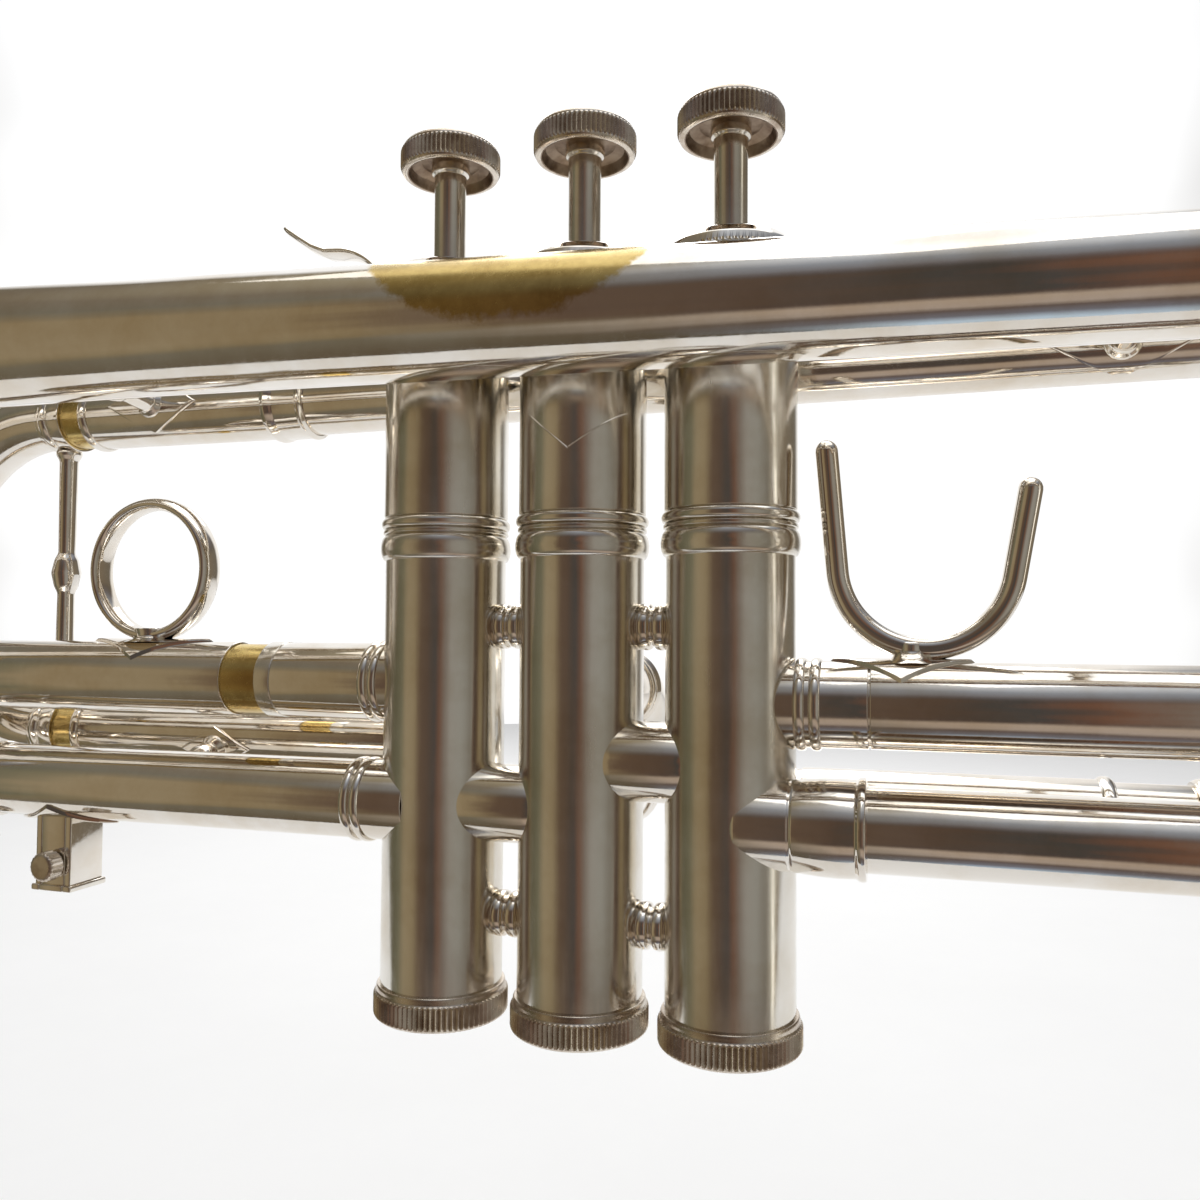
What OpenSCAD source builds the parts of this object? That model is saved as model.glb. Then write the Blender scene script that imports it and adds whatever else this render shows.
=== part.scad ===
// Piston-valve trumpet in B flat, an assembly of separate pieces, in millimetres.
// Origin: on the axis of the middle valve, at the height where the left hand grips the casings.
// +X runs to the mouthpiece, -X to the bell, +Z up along the valves, -Y to the bell's side.

/* [Valves] */
// Distance between neighbouring valve axes
valve_pitch = 24.8; // [24.6:0.1:25.4]
// Outside radius of the lower casing
casing_r = 10.3; // [10.2:0.05:10.5]
// Outside radius of the upper casing
baluster_r = 10.6; // [10.5:0.05:10.8]
// Radius of a piston
piston_r = 8.5; // [8.4:0.05:8.5]
// Radial clearance of a piston in its casing
piston_fit = 0.05; // [0.02:0.01:0.08]
// Distance a valve travels down
stroke = 15.6; // [15:0.1:15.8]
// Radius of a valve stem
stem_r = 2.75; // [2.5:0.05:3]
// Radius of a finger button
button_r = 8.68; // [8.3:0.05:9]

/* [Tubing] */
// Radius of the bore through the valves
port_r = 5.83; // [5.6:0.01:5.9]
// Outside radius of the inner slide tubes
inner_r = 6.32; // [6.3:0.01:6.34]
// Outside radius of the outer slide tubes
outer_r = 6.7; // [6.65:0.05:6.8]
// Radial clearance of a slide leg in its outer tube
slide_fit = 0.04; // [0.02:0.01:0.08]
// Height of the axis of the bell tail
tail_z = -8.2; // [-8.6:0.1:-7.8]
// Height of the leadpipe axis above the origin, at the middle valve
leadpipe_z = 66.9; // [66.5:0.1:67.3]
// How far the leadpipe stands behind the valves
leadpipe_y = 18; // [17.8:0.1:18.4]

/* [Bell] */
// Radius of the bell's rim
bell_r = 61.5; // [60:0.5:63]
// Distance of the rim in front of the middle valve
bell_x = 279; // [270:1:285]
// Sideways place of the bell stem at the middle valve
bell_y = -20.7; // [-21.5:0.1:-20.5]
// Height of the bell axis at the middle valve
bell_z = 67.9; // [67.5:0.1:68.3]
// Rise of the bell towards its rim, in degrees
bell_rise = 1.6; // [1.4:0.1:1.8]
// Thickness of the bell's sheet
bell_wall = 0.6; // [0.5:0.05:0.8]

/* [Slides] */
// How far the third slide is drawn out as stored
third_out = 7.3; // [6:0.1:9]
// How far the main tuning slide is drawn out as stored
main_out = 5; // [4:0.5:8]

/* [Hidden] */
$fn = 64;

// Valve places, first valve nearest the mouthpiece
valve_x = [valve_pitch, 0, -valve_pitch];
casing_low = -38.1;
cap_low = -44.5;
joint_z = 35.8;
casing_high = 81;
button_low = 100.8;
bore_r = piston_r + piston_fit;
keyway_r = 9.4;
piston_low = -26;
piston_high = 34;
barrel_high = 76;
shoulder_high = 78.5;
guide_high = joint_z + 2.5;
spring_high = barrel_high - 1;

// Tube heights at the valves
first_z = 10;
first_low = [13.5, -8.1];
second_z = [10.6, -7.7];
third_z = 12.2;
third_low = [-3.6, -7.8];
tail_y = -3.6;
main_low_z = 0;
cross_y = -2;
cross_32_z = -7.5;
cross_21_z = 0.3;

// Slide lengths along X, measured from the middle valve
first_stub_end = 46.5;
first_leg_end = 92;
first_outer_end = 82;
third_stub_end = -58.6;
third_leg_end = -117;
third_outer_end = -118;
third_crook_x = -127;
main_outer_end = -116;
second_outer_end = 24;
crook_gap = 0.6;
main_crook_x = main_outer_end - main_out - 3;
ring_len = 3;
second_bow_y = second_outer_end + crook_gap + ring_len;
first_crook_x = first_leg_end + 1;
first_bow_x = first_crook_x + ring_len;
third_bow_x = third_crook_x - ring_len;
main_bow_x = main_crook_x - ring_len;
mouthpipe_end = 172;
elbow_r = 10;

// Bell stem and bow
stem_end = 118;
bow_r0 = 8.77 - 0.0113 * stem_end;
tail_r = 6.35;

// Colours
silver = [0.78, 0.75, 0.70];
raw_brass = [0.62, 0.50, 0.22];
pearl = [0.93, 0.92, 0.88];
felt = [0.45, 0.12, 0.10];
cork = [0.70, 0.52, 0.33];
steel = [0.55, 0.56, 0.58];

// ---- helpers ----

// Puts children, made along +Z, along +X from the given point
module along_x(x, y, z) {
    translate([x, y, z]) rotate([0, 90, 0]) children();
}

// Tube along X from x0 to x1
module tube_x(x0, x1, y, z, r_out, r_in) {
    along_x(x0, y, z) difference() {
        cylinder(r = r_out, h = x1 - x0);
        translate([0, 0, -1]) cylinder(r = r_in, h = x1 - x0 + 2);
    }
}

// Ring whose section is a half-round bead, along X, centred at x
module bead_x(x, y, z, r, height, length) {
    steps = 8;
    along_x(x, y, z) rotate_extrude()
        polygon([[r - 0.3, -length / 2],
            for (i = [0:steps]) [r + height * sin(180 * i / steps), -length / 2 * cos(180 * i / steps)],
            [r - 0.3, length / 2]]);
}

// Half-round bead around a vertical axis
module bead_z(r, z, height, length) {
    steps = 8;
    rotate_extrude()
        polygon([[r - 0.3, z - length / 2],
            for (i = [0:steps]) [r + height * sin(180 * i / steps), z - length / 2 * cos(180 * i / steps)],
            [r - 0.3, z + length / 2]]);
}

// Diamond-shaped foot that wraps a tube lying along X, on its +Z side
module diamond_foot(r, len, wide, thick) {
    intersection() {
        rotate([0, 90, 0]) difference() {
            cylinder(r = r + thick, h = len + 2, center = true);
            cylinder(r = r, h = len + 4, center = true);
        }
        linear_extrude(height = r + 3)
            polygon([[-len / 2, 0], [0, wide / 2], [len / 2, 0], [0, -wide / 2]]);
    }
}

// Points of a straight or curved axis are swept into a tube wall with changing radius.
// Each ring stands across the axis in the plane spanned by "side" and the axis normal.
function unit(v) = v / norm(v);
function ring_at(p, d, side, r, sides) =
    let (n = unit(side - (side * d) * d), b = cross(d, n))
    [for (k = [0:sides - 1]) p + r * (cos(360 * k / sides) * n + sin(360 * k / sides) * b)];

module swept_tube(points, directions, side, r_outs, wall, sides = 28) {
    n = len(points);
    outer_pts = [for (i = [0:n - 1]) each ring_at(points[i], directions[i], side, r_outs[i], sides)];
    inner_pts = [for (i = [0:n - 1]) each ring_at(points[i], directions[i], side, r_outs[i] - wall, sides)];
    m = n * sides;
    wall_faces = [for (i = [0:n - 2], k = [0:sides - 1])
        let (a = i * sides + k, b = i * sides + (k + 1) % sides)
        each [[a, a + sides, b + sides], [a, b + sides, b]]];
    inner_faces = [for (f = wall_faces) [f[0] + m, f[2] + m, f[1] + m]];
    start_ring = [for (k = [0:sides - 1])
        let (a = k, b = (k + 1) % sides) each [[a, b, b + m], [a, b + m, a + m]]];
    last = (n - 1) * sides;
    end_ring = [for (k = [0:sides - 1])
        let (a = last + k, b = last + (k + 1) % sides) each [[a, b + m, b], [a, a + m, b + m]]];
    polyhedron(concat(outer_pts, inner_pts), concat(wall_faces, inner_faces, start_ring, end_ring));
}

// ---- bell ----

// Bell radius at a distance s behind the rim: a slow cone plus two flaring terms
function cone_r(s) = 8.77 + 0.0113 * (bell_x - s);
function flare_1(s) = pow(3 / (s + 3), 1.5);
function flare_2(s) = pow(60 / (s + 60), 2.4);
flare_len = 205;
flare_total = bell_r - cone_r(0);
function flare_at(s) = 0.24 * flare_1(s) + 0.76 * flare_2(s);
function bell_out_r(s) = s >= flare_len ? cone_r(s)
    : cone_r(s) + flare_total * (flare_at(s) - flare_at(flare_len)) / (1 - flare_at(flare_len));

bell_len = bell_x + stem_end;
bell_steps = 34;
// Sections lie close together near the rim and far apart on the stem
function bell_s(i) = bell_len * pow(i / bell_steps, 2.6);

// The bell's own axis: z = 0 at the rim, growing towards the player
module bell_place() {
    translate([0, bell_y, bell_z]) rotate([0, 90 + bell_rise, 0]) translate([0, 0, -bell_x])
        children();
}

module bell() color(silver) bell_place() difference() {
    union() {
        rotate_extrude($fn = 96) polygon(concat(
            [for (i = [0:bell_steps]) [bell_out_r(bell_s(i)), bell_s(i) + 1.6 * (1 - i / bell_steps)]],
            [for (i = [bell_steps:-1:0])
                [bell_out_r(bell_s(i)) - bell_wall, bell_s(i) + 1.2 * (1 - i / bell_steps)]]));
        rotate_extrude($fn = 96) translate([bell_r - 0.2, 1.6]) circle(r = 1.6, $fn = 32);
    }
    rotate_extrude($fn = 96) translate([bell_r - 0.2, 1.6]) circle(r = 1.0, $fn = 32);
    translate([0, 0, -5]) cylinder(r = bell_r + 5, h = 5.25);
}

module bell_rim_wire() color(raw_brass) bell_place()
    rotate_extrude($fn = 96) translate([bell_r - 0.2, 1.6]) circle(r = 1.0, $fn = 32);

// Where the bell stem ends and the bow begins
bow_top = [stem_end * cos(bell_rise), bell_y, bell_z - stem_end * sin(bell_rise)];
bow_bottom = [bow_top[0], tail_y, tail_z];
bow_bend = norm(bow_top - bow_bottom) / 2;
bow_mid = (bow_top + bow_bottom) / 2;
bow_up = unit(bow_top - bow_bottom);
bow_steps = 26;

module bell_bow() color(silver) {
    angles = [for (i = [0:bow_steps]) 180 * i / bow_steps];
    swept_tube(
        [for (a = angles) bow_mid + bow_bend * (cos(a) * bow_up + sin(a) * [1, 0, 0])],
        [for (a = angles) cos(a) * [1, 0, 0] - sin(a) * bow_up],
        cross([1, 0, 0], bow_up),
        [for (i = [0:bow_steps]) bow_r0 + (tail_r - bow_r0) * i / bow_steps],
        bell_wall);
    // Ferrule over the bow's lower end
    tube_x(bow_bottom[0] - 8, bow_bottom[0], tail_y, tail_z, 7.1, tail_r);
}

module bell_tail() color(silver) difference() {
    union() {
        tube_x(44, bow_bottom[0], tail_y, tail_z, tail_r, tail_r - bell_wall);
        // Knuckle between casing and ferrule
        tube_x(valve_pitch + 2, 36, tail_y, tail_z, 6.85, port_r);
        // Barrel-shaped ferrule with a rolled rim
        along_x(36, tail_y, tail_z) rotate_extrude() polygon([
            [tail_r, 0], [6.95, 0], [7.25, 3], [7.4, 6], [7.35, 8.6], [7.7, 9.2], [7.7, 10], [tail_r, 10]]);
    }
    translate([valve_pitch, 0, casing_low]) cylinder(r = casing_r, h = 80);
    along_x(valve_pitch, tail_y, tail_z) cylinder(r = port_r - 0.2, h = 40);
}

// ---- braces between the main tubes ----

front_brace_x = -97;
rear_brace_x = 84;
third_brace_x = -80;
function bell_axis_z(x) = bell_z - x * tan(bell_rise);

// Rod between two round tubes with a diamond foot on each
module cross_brace(a, r_a, b, r_b, rod_r, foot) {
    span = norm(b - a);
    dir = unit(b - a);
    tilt = acos(dir[2]);
    turn = atan2(dir[1], dir[0]);
    translate(a) rotate([0, tilt, turn]) {
        translate([0, 0, r_a]) cylinder(r = rod_r, h = span - r_a - r_b);
        translate([0, 0, span / 2]) sphere(r = rod_r * 1.45, $fn = 32);
        rotate([0, 0, 90]) diamond_foot(r_a, foot, foot * 0.62, 0.6);
        translate([0, 0, span]) rotate([0, 180, 90]) diamond_foot(r_b, foot, foot * 0.62, 0.6);
    }
}

module body_braces() color(silver) {
    bell_r_at_front = bell_out_r(bell_x + front_brace_x) + 0.15;
    bell_r_at_rear = bell_out_r(bell_x + rear_brace_x) + 0.15;
    cross_brace([front_brace_x, bell_y, bell_axis_z(front_brace_x)], bell_r_at_front,
        [front_brace_x, leadpipe_y, leadpipe_z], outer_r, 2, 22);
    cross_brace([rear_brace_x, bell_y, bell_axis_z(rear_brace_x)], bell_r_at_rear,
        [rear_brace_x, leadpipe_y, leadpipe_z], 5.4, 2, 22);
    cross_brace([third_brace_x, third_low[0], third_low[1]], outer_r,
        [third_brace_x, leadpipe_y, main_low_z], outer_r, 1.9, 16);
}

// ---- leadpipe, receiver, mouthpiece ----

pipe_r0 = 6.3;
pipe_r1 = 4.9;

module leadpipe() color(silver) {
    along_x(-68, leadpipe_y, leadpipe_z) rotate_extrude() polygon([
        [pipe_r0 - 0.55, 0], [pipe_r0, 0], [pipe_r1, 68 + mouthpipe_end],
        [pipe_r1 - 0.6, 68 + mouthpipe_end]]);
    // Ferrule that joins the pipe to the tuning slide's tube
    along_x(-71, leadpipe_y, leadpipe_z) rotate_extrude() polygon([
        [pipe_r0, 3], [pipe_r0, 0], [7.3, 0], [7.5, 1], [7.3, 2], [6.95, 2.4], [6.85, 8], [6.35, 9],
        [6.25, 9]]);
}

module mouthpiece_receiver() color(silver)
    along_x(mouthpipe_end - 16, leadpipe_y, leadpipe_z) rotate_extrude() polygon([
        [pipe_r1 + 0.13, 0], [6.6, 0], [6.9, 1], [6.6, 2], [6.0, 3], [5.9, 14], [6.1, 22], [6.9, 23.5],
        [7.1, 25], [6.9, 26.5], [6.3, 28], [6.5, 46], [7.4, 48], [7.7, 50], [7.4, 52], [5.15, 52],
        [4.72, 18], [pipe_r1 + 0.02, 16.02]]);

module mouthpiece() color(silver) {
    // Shank, throat, cup and rim, with the air passage through the middle
    along_x(mouthpipe_end + 6, leadpipe_y, leadpipe_z) rotate_extrude() polygon([
        [3.6, 0], [4.72, 0], [5.1, 29.5], [5.1, 33], [4.9, 38], [5.2, 42], [6.6, 47],
        [7.2, 50], [7.6, 56], [9.2, 61], [11.6, 66], [12.8, 72], [12.9, 77], [12.3, 79.5],
        [13.4, 81], [13.8, 84], [13.2, 86.4], [11.2, 87.2], [9, 86.4], [8.3, 84.5],
        [7.9, 81], [6.6, 77], [4.2, 74], [2.1, 72.4], [1.85, 71], [1.85, 66], [2.6, 48]]);
}

// ---- main tuning slide ----

module main_slide_outer() color(silver) {
    tube_x(main_outer_end, -71, leadpipe_y, leadpipe_z, outer_r, inner_r + slide_fit);
    difference() {
        tube_x(main_outer_end, -valve_pitch - elbow_r, leadpipe_y, main_low_z, outer_r, inner_r + slide_fit);
        third_casing_space();
    }
    bead_x(main_outer_end + 1.2, leadpipe_y, leadpipe_z, outer_r, 0.5, 2);
    bead_x(main_outer_end + 1.2, leadpipe_y, main_low_z, outer_r, 0.5, 2);
    // Elbow from the lower tube into the third valve's back
    difference() {
        translate([-valve_pitch - elbow_r, leadpipe_y - elbow_r, main_low_z])
            rotate_extrude(angle = 90) translate([elbow_r, 0]) difference() {
                circle(r = 6.4);
                circle(r = port_r);
            }
        translate([-valve_pitch, 0, casing_low]) cylinder(r = casing_r, h = 80);
    }
}

module third_casing_space() {
    translate([-valve_pitch, 0, casing_low]) cylinder(r = casing_r, h = 80);
}

module main_slide_legs() color(raw_brass) {
    tube_x(main_crook_x, -80, leadpipe_y, leadpipe_z, inner_r, port_r);
    tube_x(main_crook_x, -60, leadpipe_y, main_low_z, inner_r, port_r);
}

main_mid_z = (leadpipe_z + main_low_z) / 2;
main_bend = (leadpipe_z - main_low_z) / 2;

module main_slide_crook() color(silver) {
    difference() {
        leaning_crook(main_bow_x, [leadpipe_y, main_mid_z], 2 * main_bend, 0, -1);
        at(main_nipple, main_key_dir) translate([0, 0, -6]) cylinder(r = 1.2, h = 12);
    }
    for (z = [leadpipe_z, main_low_z]) {
        tube_x(main_crook_x, main_crook_x + ring_len, leadpipe_y, z, 6.9, inner_r);
    }
    // Upright brace between the crook's legs
    translate([main_crook_x, leadpipe_y, main_low_z + 6.6]) cylinder(r = 1.9, h = 2 * main_bend - 13.2);
    translate([main_crook_x, leadpipe_y, main_mid_z]) sphere(r = 3, $fn = 32);
    water_key_seat(main_nipple, main_key_dir, main_pivot, leadpipe_y, main_low_z);
}

// Children made along +Z stand at point p and lean along direction d
module at(p, d) {
    translate(p) rotate([0, acos(d[2]), atan2(d[1], d[0])]) children();
}

// Round bar between two points
module bar(a, b, r) {
    at(a, unit(b - a)) cylinder(r = r, h = norm(b - a), $fn = 32);
}

// Where a water key sits on a crook, as a direction from the crook's centre
key_angle = 205;
function key_dir(up) = sin(key_angle) * [1, 0, 0] + cos(key_angle) * up;
nipple_high = 1.8;
cork_thick = 2.4;
pivot_r = 0.9;
main_key_dir = key_dir([0, 0, 1]);
main_nipple = [main_bow_x, leadpipe_y, main_mid_z] + (main_bend + inner_r) * main_key_dir;
main_pivot = [main_bow_x, leadpipe_y, main_low_z - 10.4];
main_touch = [main_bow_x + 17, leadpipe_y, main_low_z - 13];

// Nipple that the cork closes, and two ears with the pivot pin, all fixed to the crook
module water_key_seat(nipple, dir, pivot, tube_y, tube_z) {
    at(nipple - 0.4 * dir, dir) difference() {
        cylinder(r = 2.6, h = nipple_high + 0.4);
        translate([0, 0, -1]) cylinder(r = 1.4, h = 5);
    }
    for (side = [-1, 1]) translate([pivot[0], pivot[1] + side * 3.1, pivot[2]]) {
        rotate([90, 0, 0]) cylinder(r = 1.5, h = 0.9, center = true);
        translate([-1.5, -0.45, 0]) cube([3, 0.9, tube_z - pivot[2] - 5.8]);
    }
    translate(pivot) rotate([90, 0, 0]) cylinder(r = pivot_r, h = 7, center = true);
}

// Lever with its cork cup, pivot barrel and touch plate
module water_lever(nipple, dir, pivot, touch, plate_r) {
    cup = nipple + (nipple_high + cork_thick) * dir;
    difference() {
        union() {
            at(cup - 0.9 * dir, dir) cylinder(r = 3.4, h = 2);
            bar(cup + 0.6 * dir, pivot, 1);
            bar(pivot, touch, 1);
            translate(pivot) rotate([90, 0, 0]) cylinder(r = 1.9, h = 5, center = true);
            translate(touch + [0, 0, -0.9]) cylinder(r = plate_r, h = 1.5);
        }
        translate(pivot) rotate([90, 0, 0]) cylinder(r = pivot_r + 0.05, h = 8, center = true);
        // Room for the cork
        at(nipple, dir) translate([0, 0, nipple_high - 1]) cylinder(r = 2.9, h = cork_thick + 1);
    }
}

module water_cork(nipple, dir) {
    at(nipple + nipple_high * dir, dir) cylinder(r = 2.85, h = cork_thick);
}

module main_water_key() color(silver)
    water_lever(main_nipple, main_key_dir, main_pivot, main_touch, 4.2);

module main_water_cork() color(cork) water_cork(main_nipple, main_key_dir);

// ---- valves ----

module casing_ports(n) {
    // Crossovers
    if (n > 1) along_x(valve_x[n - 1], cross_y, n == 2 ? cross_21_z : cross_32_z)
        cylinder(r = port_r, h = 14);
    if (n < 3) translate([valve_x[n - 1] - 14, cross_y, n == 1 ? cross_21_z : cross_32_z])
        rotate([0, 90, 0]) cylinder(r = port_r, h = 14);
    if (n == 1) {
        along_x(valve_x[0], 0, first_z) cylinder(r = port_r, h = 14);
        along_x(valve_x[0], tail_y, tail_z) cylinder(r = port_r - 0.2, h = 14);
        translate([valve_x[0], 0, first_low[1]]) rotate([-90, 0, 0]) cylinder(r = port_r, h = 14);
    }
    if (n == 2) for (z = second_z)
        translate([0, 0, z]) rotate([-90, 0, 0]) cylinder(r = port_r, h = 14);
    if (n == 3) {
        translate([valve_x[2] - 14, 0, third_z]) rotate([0, 90, 0]) cylinder(r = port_r, h = 14);
        translate([valve_x[2] - 14, third_low[0], third_low[1]]) rotate([0, 90, 0])
            cylinder(r = port_r - 0.2, h = 14);
        translate([valve_x[2], 0, main_low_z]) rotate([-90, 0, 0]) cylinder(r = port_r, h = 14);
    }
}

module valve_casing(n) color(silver) difference() {
    translate([valve_x[n - 1], 0, 0]) difference() {
        union() {
            translate([0, 0, casing_low]) cylinder(r = casing_r, h = joint_z - casing_low);
            translate([0, 0, casing_low - 3.4]) cylinder(r = casing_r - 0.4, h = 4);
            translate([0, 0, joint_z - 1]) cylinder(r = baluster_r, h = casing_high - joint_z + 1);
            bead_z(casing_r, 35.1, 0.85, 4.2);
            bead_z(casing_r, 39.2, 0.75, 1.9);
        }
        translate([0, 0, cap_low]) cylinder(r = bore_r, h = 140);
        translate([0, 0, joint_z]) cylinder(r = keyway_r, h = 60);
    }
    casing_ports(n);
}

module top_cap(n) color(silver) translate([valve_x[n - 1], 0, 0])
    rotate_extrude() polygon([[10.6, 74.4], [11.1, 74.4], [11.4, 75], [11.4, 80.5], [10.9, 81.8],
        [9.4, 83.2], [7, 84.2], [4.8, 84.7], [stem_r + 0.35, 84.7], [stem_r + 0.35, casing_high],
        [10.6, casing_high]]);

module bottom_cap(n) color(silver) translate([valve_x[n - 1], 0, 0])
    rotate_extrude() polygon([[casing_r - 0.4, casing_low - 0.02], [10.9, casing_low - 0.02], [11, -39.6],
        [11.3, -39.8], [11.3, -43], [10.7, -43.6], [8.6, -44.1], [5, -44.45], [2, cap_low],
        [2, -42.9], [8.5, -42.4], [casing_r - 0.4, -41.6]]);

// Passage through a piston between two ports, each given as [angle, height]:
// two straight holes with many flat sides that meet on the piston's axis
module passage(a, b, r) {
    start = [0, 0, (a[1] + b[1]) / 2];
    for (p = [a, b]) {
        end = [piston_r * cos(p[0]), piston_r * sin(p[0]), p[1]];
        d = end - start;
        translate(start) rotate([0, acos(d[2] / norm(d)), p[0]]) translate([0, 0, -passage_back])
            linear_extrude(height = norm(d) + 3 + passage_back)
                polygon([for (i = [0:17]) r * [cos(20 * i + 10), sin(20 * i + 10)]]);
    }
}

front_right = -14;
front_left = 194;
low_right = -25;
low_left = 205;
// For each valve: the open passage, then the two that line up when it is pressed
passages = [
    [[[front_left, cross_21_z], [low_right, tail_z]],
     [[front_left, cross_21_z + stroke], [0, first_z + stroke]],
     [[90, first_low[1] + stroke], [low_right, tail_z + stroke]]],
    [[[front_left, cross_32_z], [front_right, cross_21_z]],
     [[front_left, cross_32_z + stroke], [90, second_z[1] + stroke]],
     [[90, second_z[0] + stroke], [front_right, cross_21_z + stroke]]],
    [[[90, main_low_z], [front_right, cross_32_z]],
     [[90, main_low_z + stroke], [180, third_z + stroke]],
     [[low_left, third_low[1] + stroke], [front_right, cross_32_z + stroke]]]];
passage_r = 5;
passage_back = 0.5;

module piston(n) color(steel) translate([valve_x[n - 1], 0, 0]) difference() {
    union() {
        translate([0, 0, piston_low]) cylinder(r = piston_r, h = piston_high - piston_low);
        difference() {
            translate([0, 0, piston_high]) cylinder(r = 7.6, h = barrel_high - piston_high);
            translate([0, 0, piston_high]) cylinder(r = 6.9, h = 60);
            // Slots in which the guide stays while the barrel moves down past it
            translate([-10, -2.8, joint_z - 0.4]) cube([20, 5.6, stroke + 3.6]);
        }
    }
    for (p = passages[n - 1]) passage(p[0], p[1], passage_r);
    translate([0, 0, piston_low - 1]) cylinder(r = 7.3, h = 9);
}

module valve_guide(n) color(raw_brass) translate([valve_x[n - 1], 0, joint_z]) {
    intersection() {
        cylinder(r = keyway_r - 0.1, h = 2.5);
        translate([-10, -2.5, 0]) cube([20, 5, 2.5]);
    }
    cylinder(r = 6.5, h = 2.5);
}

spring_coils = 9;
spring_sides = 8;
spring_turn_steps = 12;

// Coil of wire, one flat ring of polygon corners for each step of the helix
module valve_spring(n) color(steel) translate([valve_x[n - 1], 0, 0]) {
    wire = 0.5;
    coil_r = 5.4;
    low = guide_high + wire + 0.1;
    high = spring_high - wire - 0.1;
    count = spring_coils * spring_turn_steps;
    points = [for (i = [0:count]) each
        let (a = 360 * i / spring_turn_steps, z = low + (high - low) * i / count)
        [for (k = [0:spring_sides - 1])
            let (b = 360 * k / spring_sides, r = coil_r + wire * cos(b))
            [r * cos(a), r * sin(a), z + wire * sin(b)]]];
    sides = [for (i = [0:count - 1], k = [0:spring_sides - 1])
        let (a = i * spring_sides + k, b = i * spring_sides + (k + 1) % spring_sides)
        each [[a, b, b + spring_sides], [a, b + spring_sides, a + spring_sides]]];
    start_cap = [[for (k = [spring_sides - 1:-1:0]) k]];
    end_cap = [[for (k = [0:spring_sides - 1]) count * spring_sides + k]];
    polyhedron(points, concat(sides, start_cap, end_cap));
}

module valve_stem(n) color(silver) translate([valve_x[n - 1], 0, 0]) {
    translate([0, 0, barrel_high]) cylinder(r = 7.4, h = shoulder_high - barrel_high);
    translate([0, 0, spring_high]) cylinder(r = 6.8, h = barrel_high - spring_high);
    translate([0, 0, shoulder_high]) cylinder(r = stem_r, h = button_low + 3 - shoulder_high);
}

module finger_button(n) color(silver) translate([valve_x[n - 1], 0, 0]) {
    rotate_extrude() polygon([[stem_r, button_low + 3], [6.9, button_low + 2.2], [7.4, button_low],
        [8.2, button_low], [button_r, button_low + 0.6], [button_r, button_low + 3.9],
        [8.1, button_low + 4.9], [7.35, button_low + 5.3], [7.0, button_low + 5.3],
        [7.0, button_low + 4.3], [0, button_low + 4.3], [0, button_low + 3]]);
}

module button_pearl(n) color(pearl) translate([valve_x[n - 1], 0, 0])
    rotate_extrude() polygon([[0, button_low + 4.3], [7.0, button_low + 4.3], [7.0, button_low + 5.1],
        [5.6, button_low + 5.65], [3.4, button_low + 6], [0, button_low + 6.15]]);

module valve_felt(n) color(felt) translate([valve_x[n - 1], 0, shoulder_high]) difference() {
    cylinder(r = 7, h = casing_high - shoulder_high);
    translate([0, 0, -1]) cylinder(r = stem_r, h = 10);
}

module valve_casing_1() valve_casing(1);
module valve_casing_2() valve_casing(2);
module valve_casing_3() valve_casing(3);
module top_cap_1() top_cap(1);
module top_cap_2() top_cap(2);
module top_cap_3() top_cap(3);
module bottom_cap_1() bottom_cap(1);
module bottom_cap_2() bottom_cap(2);
module bottom_cap_3() bottom_cap(3);
module valve_guide_1() valve_guide(1);
module valve_guide_2() valve_guide(2);
module valve_guide_3() valve_guide(3);
module valve_spring_1() valve_spring(1);
module valve_spring_2() valve_spring(2);
module valve_spring_3() valve_spring(3);
module piston_1() piston(1);
module piston_2() piston(2);
module piston_3() piston(3);
module valve_stem_1() valve_stem(1);
module valve_stem_2() valve_stem(2);
module valve_stem_3() valve_stem(3);
module finger_button_1() finger_button(1);
module finger_button_2() finger_button(2);
module finger_button_3() finger_button(3);
module button_pearl_1() button_pearl(1);
module button_pearl_2() button_pearl(2);
module button_pearl_3() button_pearl(3);
module valve_felt_1() valve_felt(1);
module valve_felt_2() valve_felt(2);
module valve_felt_3() valve_felt(3);

// Short beaded spacers that hold the casings apart
module casing_spools() color(silver) difference() {
    for (x = [-valve_pitch / 2, valve_pitch / 2], z = [21.9, -26.2]) {
        along_x(x - 5, 0, z) cylinder(r = 3.2, h = 10);
        for (dx = [-1.1, 1.1]) bead_x(x + dx, 0, z, 3.2, 0.5, 1.8);
    }
    for (x = valve_x) translate([x, 0, casing_low]) cylinder(r = casing_r, h = 90);
}

module crossover_knuckles() color(silver) difference() {
    for (p = [[-valve_pitch / 2, cross_32_z], [valve_pitch / 2, cross_21_z]])
        tube_x(p[0] - 9, p[0] + 9, cross_y, p[1], 6.4, port_r);
    for (x = valve_x) translate([x, 0, casing_low]) cylinder(r = casing_r, h = 90);
}

// ---- first slide ----

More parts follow.
